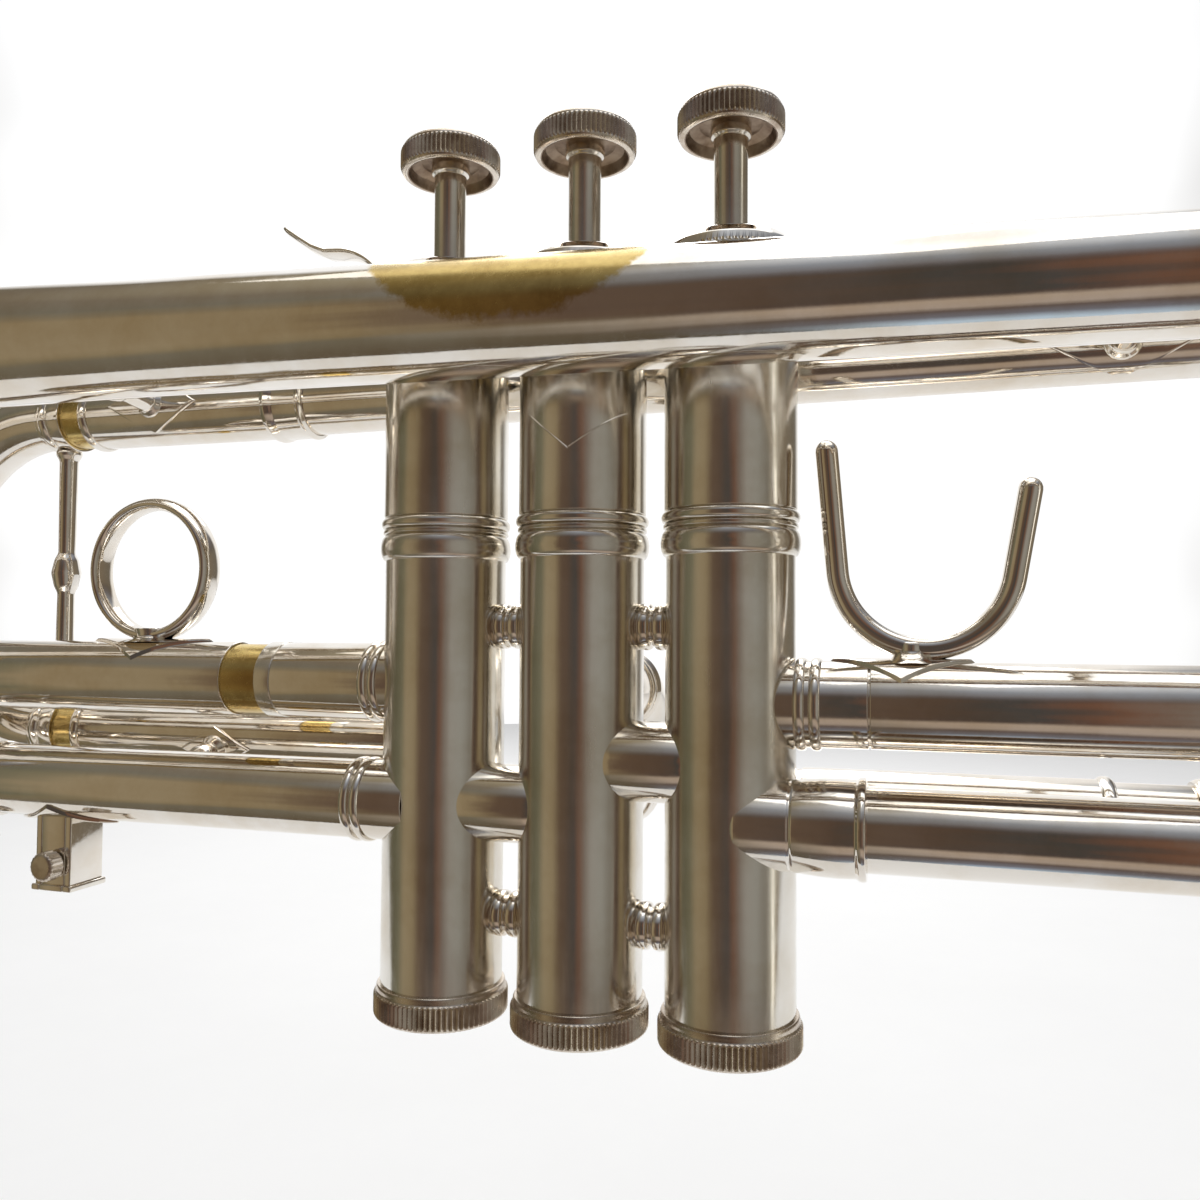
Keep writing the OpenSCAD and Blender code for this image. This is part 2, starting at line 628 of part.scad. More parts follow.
module first_slide_outer() color(silver) difference() {
    union() {
        // Fixed stub and the fixed inner tube that the sleeve runs on
        tube_x(valve_pitch + 3, first_stub_end - 0.35, 0, first_z, outer_r, port_r);
        tube_x(first_stub_end - 0.5, first_leg_end - 4, 0, first_z, inner_r, port_r);
        for (x = [36.1, 38.4]) bead_x(x, 0, first_z, outer_r, 0.45, 1.6);
        // Lower outer tube and its elbow into the back of the casing
        tube_x(valve_pitch + elbow_r, first_outer_end, first_low[0], first_low[1], outer_r,
            inner_r + slide_fit);
        bead_x(first_outer_end - 1.2, first_low[0], first_low[1], outer_r, 0.5, 2);
        translate([valve_pitch + elbow_r, first_low[0] - elbow_r, first_low[1]]) rotate([0, 0, 90])
            rotate_extrude(angle = 90) translate([elbow_r, 0]) difference() {
                circle(r = 6.4);
                circle(r = port_r);
            }
    }
    translate([valve_pitch, 0, casing_low]) cylinder(r = casing_r, h = 80);
    along_x(valve_pitch, tail_y, tail_z) cylinder(r = 6.87, h = 11);
}

first_mid = [(0 + first_low[0]) / 2, (first_z + first_low[1]) / 2];
first_span = norm([first_low[0], first_z - first_low[1]]);
first_lean = atan2(first_low[0], first_z - first_low[1]);

module first_slide_legs() color(silver) {
    tube_x(first_stub_end, first_crook_x, 0, first_z, outer_r, inner_r + slide_fit);
    tube_x(48, first_crook_x, first_low[0], first_low[1], inner_r, port_r);
}

// Half-circle crook in a leaning plane, bowing along X with the given sign, with a beaded ring over each end
module leaning_crook(x, mid, span, lean, way) {
    translate([x, mid[0], mid[1]]) rotate([lean, 0, 0]) {
        rotate([90, 0, 0]) rotate([0, 0, way * -90]) rotate_extrude(angle = 180)
            translate([span / 2, 0]) difference() {
                circle(r = inner_r, $fn = 48);
                circle(r = port_r, $fn = 48);
            }
        for (z = [-span / 2, span / 2]) translate([0, 0, z]) rotate([0, way * -90, 0])
            rotate_extrude() polygon([[port_r, 0], [6.9, 0], [6.9, 0.8],
                for (i = [1:7]) [6.9 + 0.45 * sin(22.5 * i), 1.8 - cos(22.5 * i)],
                [6.9, 2.8], [6.9, ring_len], [port_r, ring_len]]);
    }
}

module first_slide_crook() color(silver) {
    leaning_crook(first_bow_x, first_mid, first_span, first_lean, 1);
    // Pull knob on the outside of the crook
    translate([first_bow_x + first_span / 2 + inner_r - 0.6, first_mid[0], first_mid[1]])
        rotate([0, 90, 0]) cylinder(r = 2, h = 3.4);
    translate([first_bow_x + first_span / 2 + inner_r + 2.6, first_mid[0], first_mid[1]])
        rotate([0, 90, 0]) cylinder(r = 3.6, h = 2.2);
}

saddle_x = 54.3;
saddle_z = 31.6;
saddle_bend = 12.9;
saddle_rod = 1.75;
saddle_left = 184.8;
saddle_right = 350;

// U of round rod that the left thumb lifts, on a foot brazed to the sleeve
module thumb_saddle() color(silver) {
    translate([saddle_x, 0, saddle_z]) rotate([90, 0, 0]) {
        rotate([0, 0, saddle_left]) rotate_extrude(angle = saddle_right - saddle_left)
            translate([saddle_bend, 0]) circle(r = saddle_rod, $fn = 32);
        for (p = [[saddle_left, -19], [saddle_right, 13.2]])
            rotate([0, 0, p[0]]) translate([saddle_bend, 0, 0]) rotate([-90, 0, 0])
                mirror([0, 0, p[1] < 0 ? 1 : 0]) translate([0, 0, -0.6])
                    cylinder(r = saddle_rod, h = abs(p[1]) + 0.6, $fn = 32);
        rotate([0, 0, saddle_right]) translate([saddle_bend, 13.2, 0]) sphere(r = saddle_rod, $fn = 32);
    }
    translate([saddle_x - 3.4, 0, first_z]) diamond_foot(outer_r, 20, 15, 0.6);
    difference() {
        translate([saddle_x - 6, -2, first_z + outer_r - 0.8]) cube([9, 4, 2.6]);
        tube_x(saddle_x - 20, saddle_x + 20, 0, first_z, outer_r, 0.1);
    }
}

// ---- second slide ----

module second_slide_outer() color(silver) difference() {
    union() {
        for (z = second_z) translate([0, 8, z]) rotate([-90, 0, 0]) difference() {
            union() {
                cylinder(r = outer_r, h = second_outer_end - 8);
                for (y = [5.4, second_outer_end - 9.4]) translate([0, 0, y])
                    bead_z(outer_r, 0, 0.45, 1.8);
            }
            translate([0, 0, -1]) cylinder(r = inner_r + slide_fit, h = 40);
        }
    }
    translate([0, 0, casing_low]) cylinder(r = casing_r, h = 80);
}

module second_slide_bow() color(silver) {
    bend = (second_z[0] - second_z[1]) / 2;
    mid = (second_z[0] + second_z[1]) / 2;
    for (z = second_z) translate([0, 0, z]) rotate([-90, 0, 0]) difference() {
        union() {
            translate([0, 0, casing_r + 1]) cylinder(r = inner_r, h = second_bow_y - casing_r - 1);
            translate([0, 0, second_outer_end + crook_gap]) cylinder(r = 6.9, h = ring_len);
        }
        cylinder(r = port_r, h = second_bow_y + 1);
    }
    translate([0, second_bow_y, mid]) rotate([0, 90, 0]) rotate_extrude(angle = 180)
        translate([bend, 0]) difference() {
            circle(r = inner_r, $fn = 48);
            circle(r = port_r, $fn = 48);
        }
    translate([0, second_bow_y + bend + inner_r - 0.6, mid]) rotate([-90, 0, 0]) cylinder(r = 2, h = 3.4);
    translate([0, second_bow_y + bend + inner_r + 2.6, mid]) rotate([-90, 0, 0]) cylinder(r = 3.6, h = 2.2);
}

// ---- third slide ----

module third_slide_outer() color(silver) difference() {
    union() {
        // Fixed stub, its end ring, and the fixed inner tube that the sleeve runs on
        tube_x(third_stub_end + 3.1, -valve_pitch - 3, 0, third_z, outer_r, port_r);
        tube_x(third_stub_end, third_stub_end + 3.1, 0, third_z, outer_r + 0.1, port_r);
        tube_x(third_leg_end, third_stub_end, 0, third_z, inner_r, port_r);
        for (x = [-37.3, -35.4]) bead_x(x, 0, third_z, outer_r, 0.45, 1.6);
        // Lower outer tube
        tube_x(third_outer_end, -valve_pitch - 3, third_low[0], third_low[1], outer_r, inner_r + slide_fit);
        for (x = [-38.3, -36.4]) bead_x(x, third_low[0], third_low[1], outer_r, 0.45, 1.6);
        bead_x(third_outer_end + 1.2, third_low[0], third_low[1], outer_r, 0.5, 2);
    }
    third_casing_space();
}

third_mid = [third_low[0] / 2, (third_z + third_low[1]) / 2];
third_span = norm([third_low[0], third_z - third_low[1]]);
third_lean = atan2(third_low[0], third_z - third_low[1]);

module third_slide_legs() color(silver) {
    tube_x(third_crook_x, third_stub_end - third_out, 0, third_z, outer_r, inner_r + slide_fit);
    tube_x(third_crook_x, -48, third_low[0], third_low[1], inner_r, port_r);
}

third_up = unit([0, -third_low[0], third_z - third_low[1]]);
third_key_dir = key_dir(third_up);
third_nipple = [third_bow_x, third_mid[0], third_mid[1]] + (third_span / 2 + inner_r) * third_key_dir;
third_pivot = [third_bow_x - 1.5, third_low[0], third_low[1] - 10];
third_touch = [third_bow_x + 8, third_low[0], third_low[1] - 11.4];

module third_slide_crook() color(silver) {
    difference() {
        leaning_crook(third_bow_x, third_mid, third_span, third_lean, -1);
        at(third_nipple, third_key_dir) translate([0, 0, -6]) cylinder(r = 1.2, h = 12);
    }
    water_key_seat(third_nipple, third_key_dir, third_pivot, third_low[0], third_low[1]);
}

module third_water_key() color(silver)
    water_lever(third_nipple, third_key_dir, third_pivot, third_touch, 3.2);

module third_water_cork() color(cork) water_cork(third_nipple, third_key_dir);

ring_x = -85.6;
ring_z = 32.5;
ring_r = 12.3;

// Crowned band that the third finger sits in, on a foot brazed to the sleeve
module finger_ring() color(silver) {
    translate([ring_x, 0, ring_z]) rotate([90, 0, 0]) rotate_extrude($fn = 96)
        polygon([for (i = [0:15]) [ring_r + 1.35 * cos(22.5 * i), 2.6 * sin(22.5 * i)]]);
    translate([ring_x, 0, third_z]) diamond_foot(outer_r, 26, 16, 0.6);
    difference() {
        translate([ring_x - 7, -2.2, third_z + outer_r - 0.8]) cube([14, 4.4, 2.9]);
        tube_x(ring_x - 20, ring_x + 20, 0, third_z, outer_r, 0.1);
        translate([ring_x, 5, ring_z]) rotate([90, 0, 0]) cylinder(r = ring_r, h = 10);
    }
}

// ---- fittings ----

hook_y = leadpipe_y + 0.5;
hook_width = 6;

// Curved strip that the right little finger hooks under, rising towards the bell
module pinky_hook() color(silver) {
    translate([0, hook_y + hook_width / 2, 0]) rotate([90, 0, 0]) {
        linear_extrude(height = hook_width) {
            difference() {
                translate([-58, 84.5]) circle(r = 13.5);
                translate([-58, 84.5]) circle(r = 11.7);
                translate([-80, 60]) square([22, 60]);
                translate([-60, 60]) square([30, 21.5]);
            }
        }
    }
    translate([-44.9, hook_y - 2.4, leadpipe_z + 5.6]) cube([1.8, 4.8, 9]);
    translate([-44, leadpipe_y, leadpipe_z]) diamond_foot(6.32, 22, 12, 0.6);
    translate([-58, hook_y - hook_width / 2, 96.2]) rotate([0, -155, 0])
        translate([0, 0, -1.8]) cube([11, hook_width, 1.8]);
}

lyre_x = -100.5;
lyre_top = third_low[1] - outer_r;
lyre_low = lyre_top - 13;

// Square socket that a music clip's stem drops into, under the third slide
module lyre_holder() color(silver) {
    difference() {
        translate([lyre_x - 4, third_low[0] - 4, lyre_low]) cube([8, 8, 14.2]);
        translate([lyre_x - 2.6, third_low[0] - 2.6, lyre_low - 1]) cube([5.2, 5.2, 12.5]);
        translate([lyre_x + 0.6, third_low[0], lyre_low + 5]) rotate([90, 0, 0]) cylinder(r = 1.55, h = 10);
        tube_x(lyre_x - 20, lyre_x + 20, third_low[0], third_low[1], outer_r, 0.1);
    }
    difference() {
        translate([lyre_x - 4.5, third_low[0] - 4.5, lyre_low]) cube([9, 9, 1.2]);
        translate([lyre_x - 2.6, third_low[0] - 2.6, lyre_low - 1]) cube([5.2, 5.2, 12.5]);
    }
    translate([lyre_x, third_low[0], third_low[1]]) rotate([180, 0, 0]) diamond_foot(outer_r, 22, 15, 0.6);
}

module lyre_screw() color(silver) translate([lyre_x + 0.6, third_low[0], lyre_low + 5]) rotate([90, 0, 0]) {
    translate([0, 0, 2.4]) cylinder(r = 1.5, h = 3);
    translate([0, 0, 4.4]) cylinder(r = 2.7, h = 3.2);
}

bell();
bell_rim_wire();
bell_bow();
bell_tail();
body_braces();
leadpipe();
mouthpiece_receiver();
mouthpiece();
main_slide_outer();
main_slide_legs();
main_slide_crook();
main_water_key();
main_water_cork();
casing_spools();
crossover_knuckles();
valve_casing_1();
valve_casing_2();
valve_casing_3();
top_cap_1();
top_cap_2();
top_cap_3();
bottom_cap_1();
bottom_cap_2();
bottom_cap_3();
valve_guide_1();
valve_guide_2();
valve_guide_3();
valve_spring_1();
valve_spring_2();
valve_spring_3();
piston_1();
piston_2();
piston_3();
valve_stem_1();
valve_stem_2();
valve_stem_3();
finger_button_1();
finger_button_2();
finger_button_3();
button_pearl_1();
button_pearl_2();
button_pearl_3();
valve_felt_1();
valve_felt_2();
valve_felt_3();
first_slide_outer();
first_slide_legs();
first_slide_crook();
thumb_saddle();
second_slide_outer();
second_slide_bow();
third_slide_outer();
third_slide_legs();
third_slide_crook();
finger_ring();
third_water_key();
third_water_cork();
pinky_hook();
lyre_holder();
lyre_screw();
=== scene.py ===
import math

import bmesh
import bpy
import numpy as np
from mathutils import Matrix, Vector


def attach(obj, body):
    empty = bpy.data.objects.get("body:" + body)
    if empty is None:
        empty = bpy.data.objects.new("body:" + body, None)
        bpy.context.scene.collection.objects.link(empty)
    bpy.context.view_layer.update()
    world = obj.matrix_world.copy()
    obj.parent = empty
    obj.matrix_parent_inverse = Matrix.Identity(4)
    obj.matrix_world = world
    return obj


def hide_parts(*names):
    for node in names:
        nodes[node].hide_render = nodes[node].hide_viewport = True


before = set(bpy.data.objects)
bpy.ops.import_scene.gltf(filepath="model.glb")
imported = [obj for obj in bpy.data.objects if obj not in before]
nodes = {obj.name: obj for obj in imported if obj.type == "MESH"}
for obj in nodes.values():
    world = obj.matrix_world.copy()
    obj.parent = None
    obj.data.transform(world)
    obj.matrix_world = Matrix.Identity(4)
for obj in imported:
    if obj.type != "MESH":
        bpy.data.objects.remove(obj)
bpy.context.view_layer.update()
bpy.context.scene.view_settings.view_transform = "Standard"

MM = 0.001
# Sizes in millimetres, the same as in the CAD part
PITCH = 24.8
CASING_R = 10.3
BALUSTER_R = 10.6
PORT_R = 5.83
INNER_R = 6.32
OUTER_R = 6.7
SLEEVE_R = 6.36
LEAD_Y, LEAD_Z = 18, 66.9
TAIL_Y, TAIL_Z, TAIL_R = -3.6, -8.2, 6.35
BELL_X, BELL_Y, BELL_Z, BELL_R = 279, -20.7, 67.9, 61.5
BELL_RISE = math.radians(1.6)
STEM_END = 118
FIRST_Z, FIRST_LOW = 10, (13.5, -8.1)
THIRD_Z, THIRD_LOW = 12.2, (-3.6, -7.8)
BOW_WALL = 0.49
ELBOW_R, ELBOW_WALL, ELBOW_BEND = 6.4, 0.57, 10
CROOK_RING_R = 6.9
X_AXIS, Y_AXIS, Z_AXIS = (1, 0, 0), (0, 1, 0), (0, 0, 1)


# ---- materials ----

class Graph:
    """Small helper around a node tree."""

    def __init__(self, tree):
        self.tree = tree

    def node(self, kind, **values):
        n = self.tree.nodes.new(kind)
        for key, value in values.items():
            setattr(n, key, value)
        return n

    def link(self, a, b):
        self.tree.links.new(a, b)

    def ramp(self, value, stops):
        n = self.node("ShaderNodeValToRGB")
        elements = n.color_ramp.elements
        while len(elements) < len(stops):
            elements.new(0.5)
        for e, (at, colour) in zip(elements, stops):
            e.position = at
            e.color = (*colour, 1)
        self.link(value, n.inputs["Fac"])
        return n.outputs["Color"]

    def math(self, operation, a, b=None, c=None):
        n = self.node("ShaderNodeMath", operation=operation)
        for i, value in enumerate((a, b, c)):
            if value is None:
                continue
            if isinstance(value, (int, float)):
                n.inputs[i].default_value = value
            else:
                self.link(value, n.inputs[i])
        return n.outputs[0]

    def mix(self, factor, a, b):
        n = self.node("ShaderNodeMix", data_type="RGBA")
        self.link(factor, n.inputs["Factor"])
        self.link(a, n.inputs[6])
        self.link(b, n.inputs[7])
        return n.outputs[2]


class Shader(Graph):
    """A material with its textures laid out in object space."""

    def __init__(self, name):
        self.material = bpy.data.materials.new(name)
        self.material.use_nodes = True
        super().__init__(self.material.node_tree)
        self.out = self.tree.nodes["Principled BSDF"]
        self.place = self.node("ShaderNodeTexCoord").outputs["Object"]

    def set(self, name, value):
        self.out.inputs[name].default_value = value

    def noise(self, scale, detail=4.0, stretch=(1, 1, 1), rough=0.5):
        spread = self.node("ShaderNodeMapping")
        spread.inputs["Scale"].default_value = stretch
        self.link(self.place, spread.inputs["Vector"])
        n = self.node("ShaderNodeTexNoise")
        n.inputs["Scale"].default_value = scale
        n.inputs["Detail"].default_value = detail
        n.inputs["Roughness"].default_value = rough
        self.link(spread.outputs["Vector"], n.inputs["Vector"])
        return n.outputs["Fac"]

    def spread(self, value, low, high, to_low, to_high):
        n = self.node("ShaderNodeMapRange", clamp=True)
        self.link(value, n.inputs["Value"])
        for key, number in (("From Min", low), ("From Max", high), ("To Min", to_low),
                            ("To Max", to_high)):
            n.inputs[key].default_value = number
        return n.outputs["Result"]

    def bump(self, height, strength, distance, before=None):
        n = self.node("ShaderNodeBump")
        n.inputs["Strength"].default_value = strength
        n.inputs["Distance"].default_value = distance
        self.link(height, n.inputs["Height"])
        if before is not None:
            self.link(before, n.inputs["Normal"])
        return n.outputs["Normal"]


def metal(name, light, dark, smooth, rough, patch_scale=55, patch=(0.42, 0.68), brush=None,
          waves=0.3, grain=0.12):
    """Plated or bare metal: patchy colour, uneven gloss, faint waviness and fine wear marks."""
    s = Shader(name)
    s.set("Metallic", 1.0)
    patches = s.noise(patch_scale, 6.0, rough=0.62)
    colour = s.ramp(patches, [(0.0, light), (patch[0], light), (patch[1], dark), (1.0, dark)])
    s.link(colour, s.out.inputs["Base Color"])
    wear = s.noise(700, 5.0, stretch=brush or (1, 1, 1), rough=0.7)
    cloud = s.noise(38, 5.0, rough=0.65)
    gloss = s.math("ADD", s.spread(cloud, 0.3, 0.7, smooth, rough),
                   s.spread(wear, 0.45, 0.75, -0.03, 0.07))
    s.link(gloss, s.out.inputs["Roughness"])
    soft = s.bump(s.noise(26, 2.0), waves, 0.0012)
    s.link(s.bump(wear, grain, 0.00004, soft), s.out.inputs["Normal"])
    return s


def soft_stuff(name, light, dark, scale, rough, depth):
    """Felt, cork and pearl: mottled and not metal."""
    s = Shader(name)
    grain = s.noise(scale, 6.0, rough=0.7)
    s.link(s.ramp(grain, [(0.35, light), (0.68, dark)]), s.out.inputs["Base Color"])
    s.link(s.spread(grain, 0.3, 0.7, rough, rough + 0.15), s.out.inputs["Roughness"])
    s.link(s.bump(grain, 0.5, depth), s.out.inputs["Normal"])
    return s


SILVER_LIGHT, SILVER_DARK = (0.86, 0.82, 0.76), (0.74, 0.66, 0.55)
SILVER = metal("silver_polished", SILVER_LIGHT, SILVER_DARK, 0.05, 0.13)
SATIN = metal("silver_satin", (0.84, 0.81, 0.75), (0.70, 0.64, 0.54), 0.13, 0.26,
              brush=(1, 1, 0.08), grain=0.25)
AGED = metal("silver_aged", (0.72, 0.65, 0.56), (0.44, 0.35, 0.27), 0.2, 0.36, patch_scale=220)
# Near-black silver used only as painted shade: the dark sheet under each finger button
PAINTED_SHADE = metal("silver_painted_shade", (0.34, 0.26, 0.19), (0.17, 0.11, 0.07), 0.3, 0.5, patch_scale=260)
BRASS = metal("brass_bare", (0.72, 0.55, 0.22), (0.50, 0.34, 0.12), 0.16, 0.3, patch_scale=120)
MONEL = metal("piston_metal", (0.60, 0.58, 0.54), (0.45, 0.42, 0.38), 0.15, 0.28,
              brush=(1, 1, 0.06))
STEEL = metal("spring_steel", (0.56, 0.57, 0.60), (0.38, 0.38, 0.41), 0.18, 0.32)
PEARL = soft_stuff("pearl_inlay", (0.93, 0.92, 0.88), (0.82, 0.83, 0.84), 240, 0.12, 0.00002)
FELT = soft_stuff("red_felt", (0.42, 0.10, 0.09), (0.25, 0.05, 0.05), 1500, 0.85, 0.0004)
CORK = soft_stuff("cork", (0.66, 0.46, 0.27), (0.38, 0.24, 0.13), 900, 0.75, 0.0003)


def worn_bell():
    """Silver with the patch that hands have worn down to the brass."""
    s = metal("silver_worn_bell", SILVER_LIGHT, SILVER_DARK, 0.05, 0.14)
    silver_colour = s.out.inputs["Base Color"].links[0].from_socket
    parts = s.node("ShaderNodeSeparateXYZ")
    s.link(s.place, parts.inputs[0])
    patch_x, patch_half, patch_low, patch_depth = -0.0030, 0.0225, 0.0652, 0.0105
    across = s.math("MULTIPLY", s.math("ADD", parts.outputs["X"], -patch_x), 1 / patch_half)
    edge = s.math("MULTIPLY", s.math("POWER", s.math("ABSOLUTE", across), 3.0), patch_depth)
    height = s.math("SUBTRACT", s.math("SUBTRACT", parts.outputs["Z"], patch_low), edge)
    ragged = s.math("ADD", height, s.spread(s.noise(420, 6.0, rough=0.7), 0.3, 0.7, -0.0010,
                                            0.0010))
    mask = s.spread(ragged, -0.0004, 0.0009, 0.0, 1.0)
    near = s.spread(s.math("ABSOLUTE", across), 1.0, 1.04, 1.0, 0.0)
    mask = s.math("MULTIPLY", mask, near)
    brass = s.ramp(s.noise(150, 6.0, rough=0.7), [(0.3, (0.66, 0.50, 0.20)),
                                                  (0.7, (0.42, 0.29, 0.10))])
    s.link(s.mix(mask, silver_colour, brass), s.out.inputs["Base Color"])
    old = s.out.inputs["Roughness"].links[0].from_socket
    s.link(s.math("MULTIPLY_ADD", mask, 0.16, old), s.out.inputs["Roughness"])
    return s


WORN = worn_bell()


# ---- geometry ----

def axes(direction):
    """The unit vector along direction and two more square to it."""
    a = np.array(direction, float)
    a /= np.linalg.norm(a)
    ref = np.array((0, 0, 1.0)) if abs(a[2]) < 0.9 else np.array((1.0, 0, 0))
    u = ref - ref.dot(a) * a
    u /= np.linalg.norm(u)
    return a, u, np.cross(a, u)


def rounded(points, r, closed):
    """Profile with its corners cut back by at most r and replaced with short curves."""
    out = []
    n = len(points)
    steps = 3
    for i, p in enumerate(points):
        if not closed and i in (0, n - 1):
            out.append(p)
            continue
        p0, p1, p2 = (np.array(points[(i + d) % n], float) for d in (-1, 0, 1))
        a, b = p0 - p1, p2 - p1
        la, lb = np.linalg.norm(a[:2]), np.linalg.norm(b[:2])
        if la < 1e-6 or lb < 1e-6 or abs(a[:2].dot(b[:2])) > 0.985 * la * lb:
            out.append(tuple(p1))
            continue
        cut = min(r, 0.4 * la, 0.4 * lb)
        s, e = p1 + a * (cut / la), p1 + b * (cut / lb)
        for k in range(steps + 1):
            t = k / steps
            out.append(tuple((1 - t) ** 2 * s + 2 * t * (1 - t) * p1 + t * t * e))
    return out


class Part:
    """Collects closed surfaces, in millimetres, and makes one mesh of them."""

    def __init__(self, name):
        self.name, self.v, self.f, self.n = name, [], [], 0

    def add(self, v, f):
        self.v.append(np.asarray(v, float).reshape(-1, 3))
        self.f.append(np.asarray(f, int) + self.n)
        self.n += len(self.v[-1])
        return self

    def grid(self, p, wrap_u=False, wrap_v=True):
        m, k = p.shape[:2]
        rows = np.arange(m if wrap_u else m - 1)
        cols = np.arange(k if wrap_v else k - 1)
        i, j = np.meshgrid(rows, cols, indexing="ij")
        i2, j2 = (i + 1) % m, (j + 1) % k
        quads = np.stack([i * k + j, i * k + j2, i2 * k + j2, i2 * k + j], -1).reshape(-1, 4)
        return self.add(p.reshape(-1, 3), quads)

    def lathe(self, profile, origin, axis, seg=96, loop=True, knurl=0, depth=0.0, soft=0.15):
        """profile is (radius, height) with an optional third value: how deep the knurl is there."""
        profile = rounded([tuple(p) + (0.0,) * (3 - len(p)) for p in profile], soft, loop)
        a, u, w = axes(axis)
        if knurl:
            seg = knurl * 6
        turn = np.arange(seg) * 2 * math.pi / seg
        teeth = 0.5 - 0.5 * np.cos(turn * knurl) if knurl else np.zeros(seg)
        ring = np.cos(turn)[:, None] * u + np.sin(turn)[:, None] * w
        p = np.array([np.array(origin, float) + t * a + (r - k * depth * teeth)[:, None] * ring
                      for r, t, k in profile])
        return self.grid(p, wrap_u=loop)

    def tube(self, axis, origin, start, end, r_out, r_in, seg=96, soft=0.15):
        return self.lathe([(r_in, start), (r_out, start), (r_out, end), (r_in, end)], origin, axis,
                          seg, soft=soft)

    def rod(self, axis, origin, start, end, r, seg=48, soft=0.2):
        return self.lathe([(0, start), (r, start), (r, end), (0, end)], origin, axis, seg, False,
                          soft=soft)

    def bead(self, axis, origin, at, r, height, length, seg=96):
        """Raised ring round a tube of radius r."""
        dome = [(r + height * math.sin(math.pi * i / 10),
                 at - length / 2 * math.cos(math.pi * i / 10)) for i in range(11)]
        foot = r - 0.4
        return self.lathe([(foot, at - length / 2)] + dome + [(foot, at + length / 2)], origin,
                          axis, seg, soft=0)

    def ball(self, centre, r, seg=40):
        side = [(max(r * math.sin(math.pi * i / 20), 0),
                 -r * math.cos(math.pi * i / 20)) for i in range(21)]
        return self.lathe(side, centre, Z_AXIS, seg, False, soft=0)

    def sweep(self, points, radii, sides=48, wall=0.0, side=None, flat=1.0):
        """Bar with round ends, or a tube if it has a wall. flat squeezes it across side."""
        pts = np.array(points, float)
        radii = np.broadcast_to(np.array(radii, float), (len(pts),))
        d = np.gradient(pts, axis=0)
        d /= np.linalg.norm(d, axis=1)[:, None]
        n = np.array(side, float) if side is not None else axes(d[0])[1]
        turn = np.arange(sides) * 2 * math.pi / sides
        rings, insides = [], []
        for p, t, r in zip(pts, d, radii):
            n = n - n.dot(t) * t
            n /= np.linalg.norm(n)
            b = np.cross(t, n)
            shape = np.cos(turn)[:, None] * n * flat + np.sin(turn)[:, None] * b
            rings.append(p + r * shape)
            insides.append(p + (r - wall) * shape)
        if wall:
            return self.grid(np.array(rings + insides[::-1]), wrap_u=True)
        head, tail = [], []
        for k in range(5):
            q = math.pi / 2 * k / 5
            c, s = math.sin(q), math.cos(q)
            head.append(pts[0] - d[0] * radii[0] * s + (rings[0] - pts[0]) * max(c, 1e-6))
            tail.append(pts[-1] + d[-1] * radii[-1] * s + (rings[-1] - pts[-1]) * max(c, 1e-6))
        return self.grid(np.array(head + rings + tail[::-1]))

    def diamond(self, origin, along, up, r, length, width, thick=0.6, curve=1.0):
        """Diamond foot wrapped on a tube of radius r, thinning out over edge at its border."""
        edge, sunk = 0.5, 0.35
        along, up = np.array(along, float), np.array(up, float)
        along /= np.linalg.norm(along)
        up = up - up.dot(along) * along
        up /= np.linalg.norm(up)
        across = np.cross(along, up)
        rings = []
        for i in range(41):
            u = -1 + i / 20
            half = width / 2 * (1 - abs(u)) ** curve
            span = half / (r + thick)
            ring = []
            for j in range(25):
                v = -1 + j / 12
                q = span * v
                gap = min(half * (1 - abs(v)), length / 2 * (1 - abs(u)))
                rise = thick * math.sqrt(max(0.0, 1 - (1 - min(gap / edge, 1)) ** 2))
                out = math.cos(q) * up + math.sin(q) * across
                ring.append(u * length / 2 * along + (r + rise) * out)
            for j in range(24, -1, -1):
                q = span * (-1 + j / 12)
                out = math.cos(q) * up + math.sin(q) * across
                ring.append(u * length / 2 * along + (r - sunk) * out)
            rings.append(ring)
        return self.grid(np.array(rings) + np.array(origin, float))

    def block(self, low, high, soft=0.4):
        bm = bmesh.new()
        bmesh.ops.create_cube(bm, size=1)
        low, high = np.array(low, float), np.array(high, float)
        for v in bm.verts:
            v.co = Vector((low + high) / 2 + np.array(v.co) * (high - low))
        bmesh.ops.bevel(bm, geom=bm.edges[:], offset=soft, segments=3, affect="EDGES", profile=0.5)
        bmesh.ops.triangulate(bm, faces=bm.faces[:])
        v = [tuple(x.co) for x in bm.verts]
        bm.verts.index_update()
        f = [[x.index for x in face.verts] + [face.verts[2].index] for face in bm.faces]
        bm.free()
        return self.add(v, f)

    def done(self, body, slot, shader, replaces=(), angle=35):
        """Makes the mesh and hands it to the frame; edges sharper than angle stay crisp."""
        v = np.vstack(self.v) * MM
        mesh = bpy.data.meshes.new(self.name)
        faces = [list(dict.fromkeys(q)) for q in np.vstack(self.f).tolist()]
        mesh.from_pydata(v.tolist(), [], [q for q in faces if len(q) > 2])
        bm = bmesh.new()
        bm.from_mesh(mesh)
        bmesh.ops.remove_doubles(bm, verts=bm.verts[:], dist=2e-7)
        bmesh.ops.recalc_face_normals(bm, faces=bm.faces[:])
        bm.to_mesh(mesh)
        bm.free()
        mesh.shade_smooth()
        mesh.set_sharp_from_angle(angle=math.radians(angle))
        mesh.materials.append(shader.material)
        obj = bpy.data.objects.new(self.name, mesh)
        bpy.context.scene.collection.objects.link(obj)
        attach(obj, body)
        if replaces:
            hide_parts(*replaces)
        return obj


def arc(centre, r, start, end, u, v, steps=64):
    """Points on an arc from start to end degrees, from u towards v."""
    c, u, v = (np.array(x, float) for x in (centre, u, v))
    q = np.radians(np.linspace(start, end, steps + 1))
    return c + r * (np.cos(q)[:, None] * u + np.sin(q)[:, None] * v)


# ---- bell ----

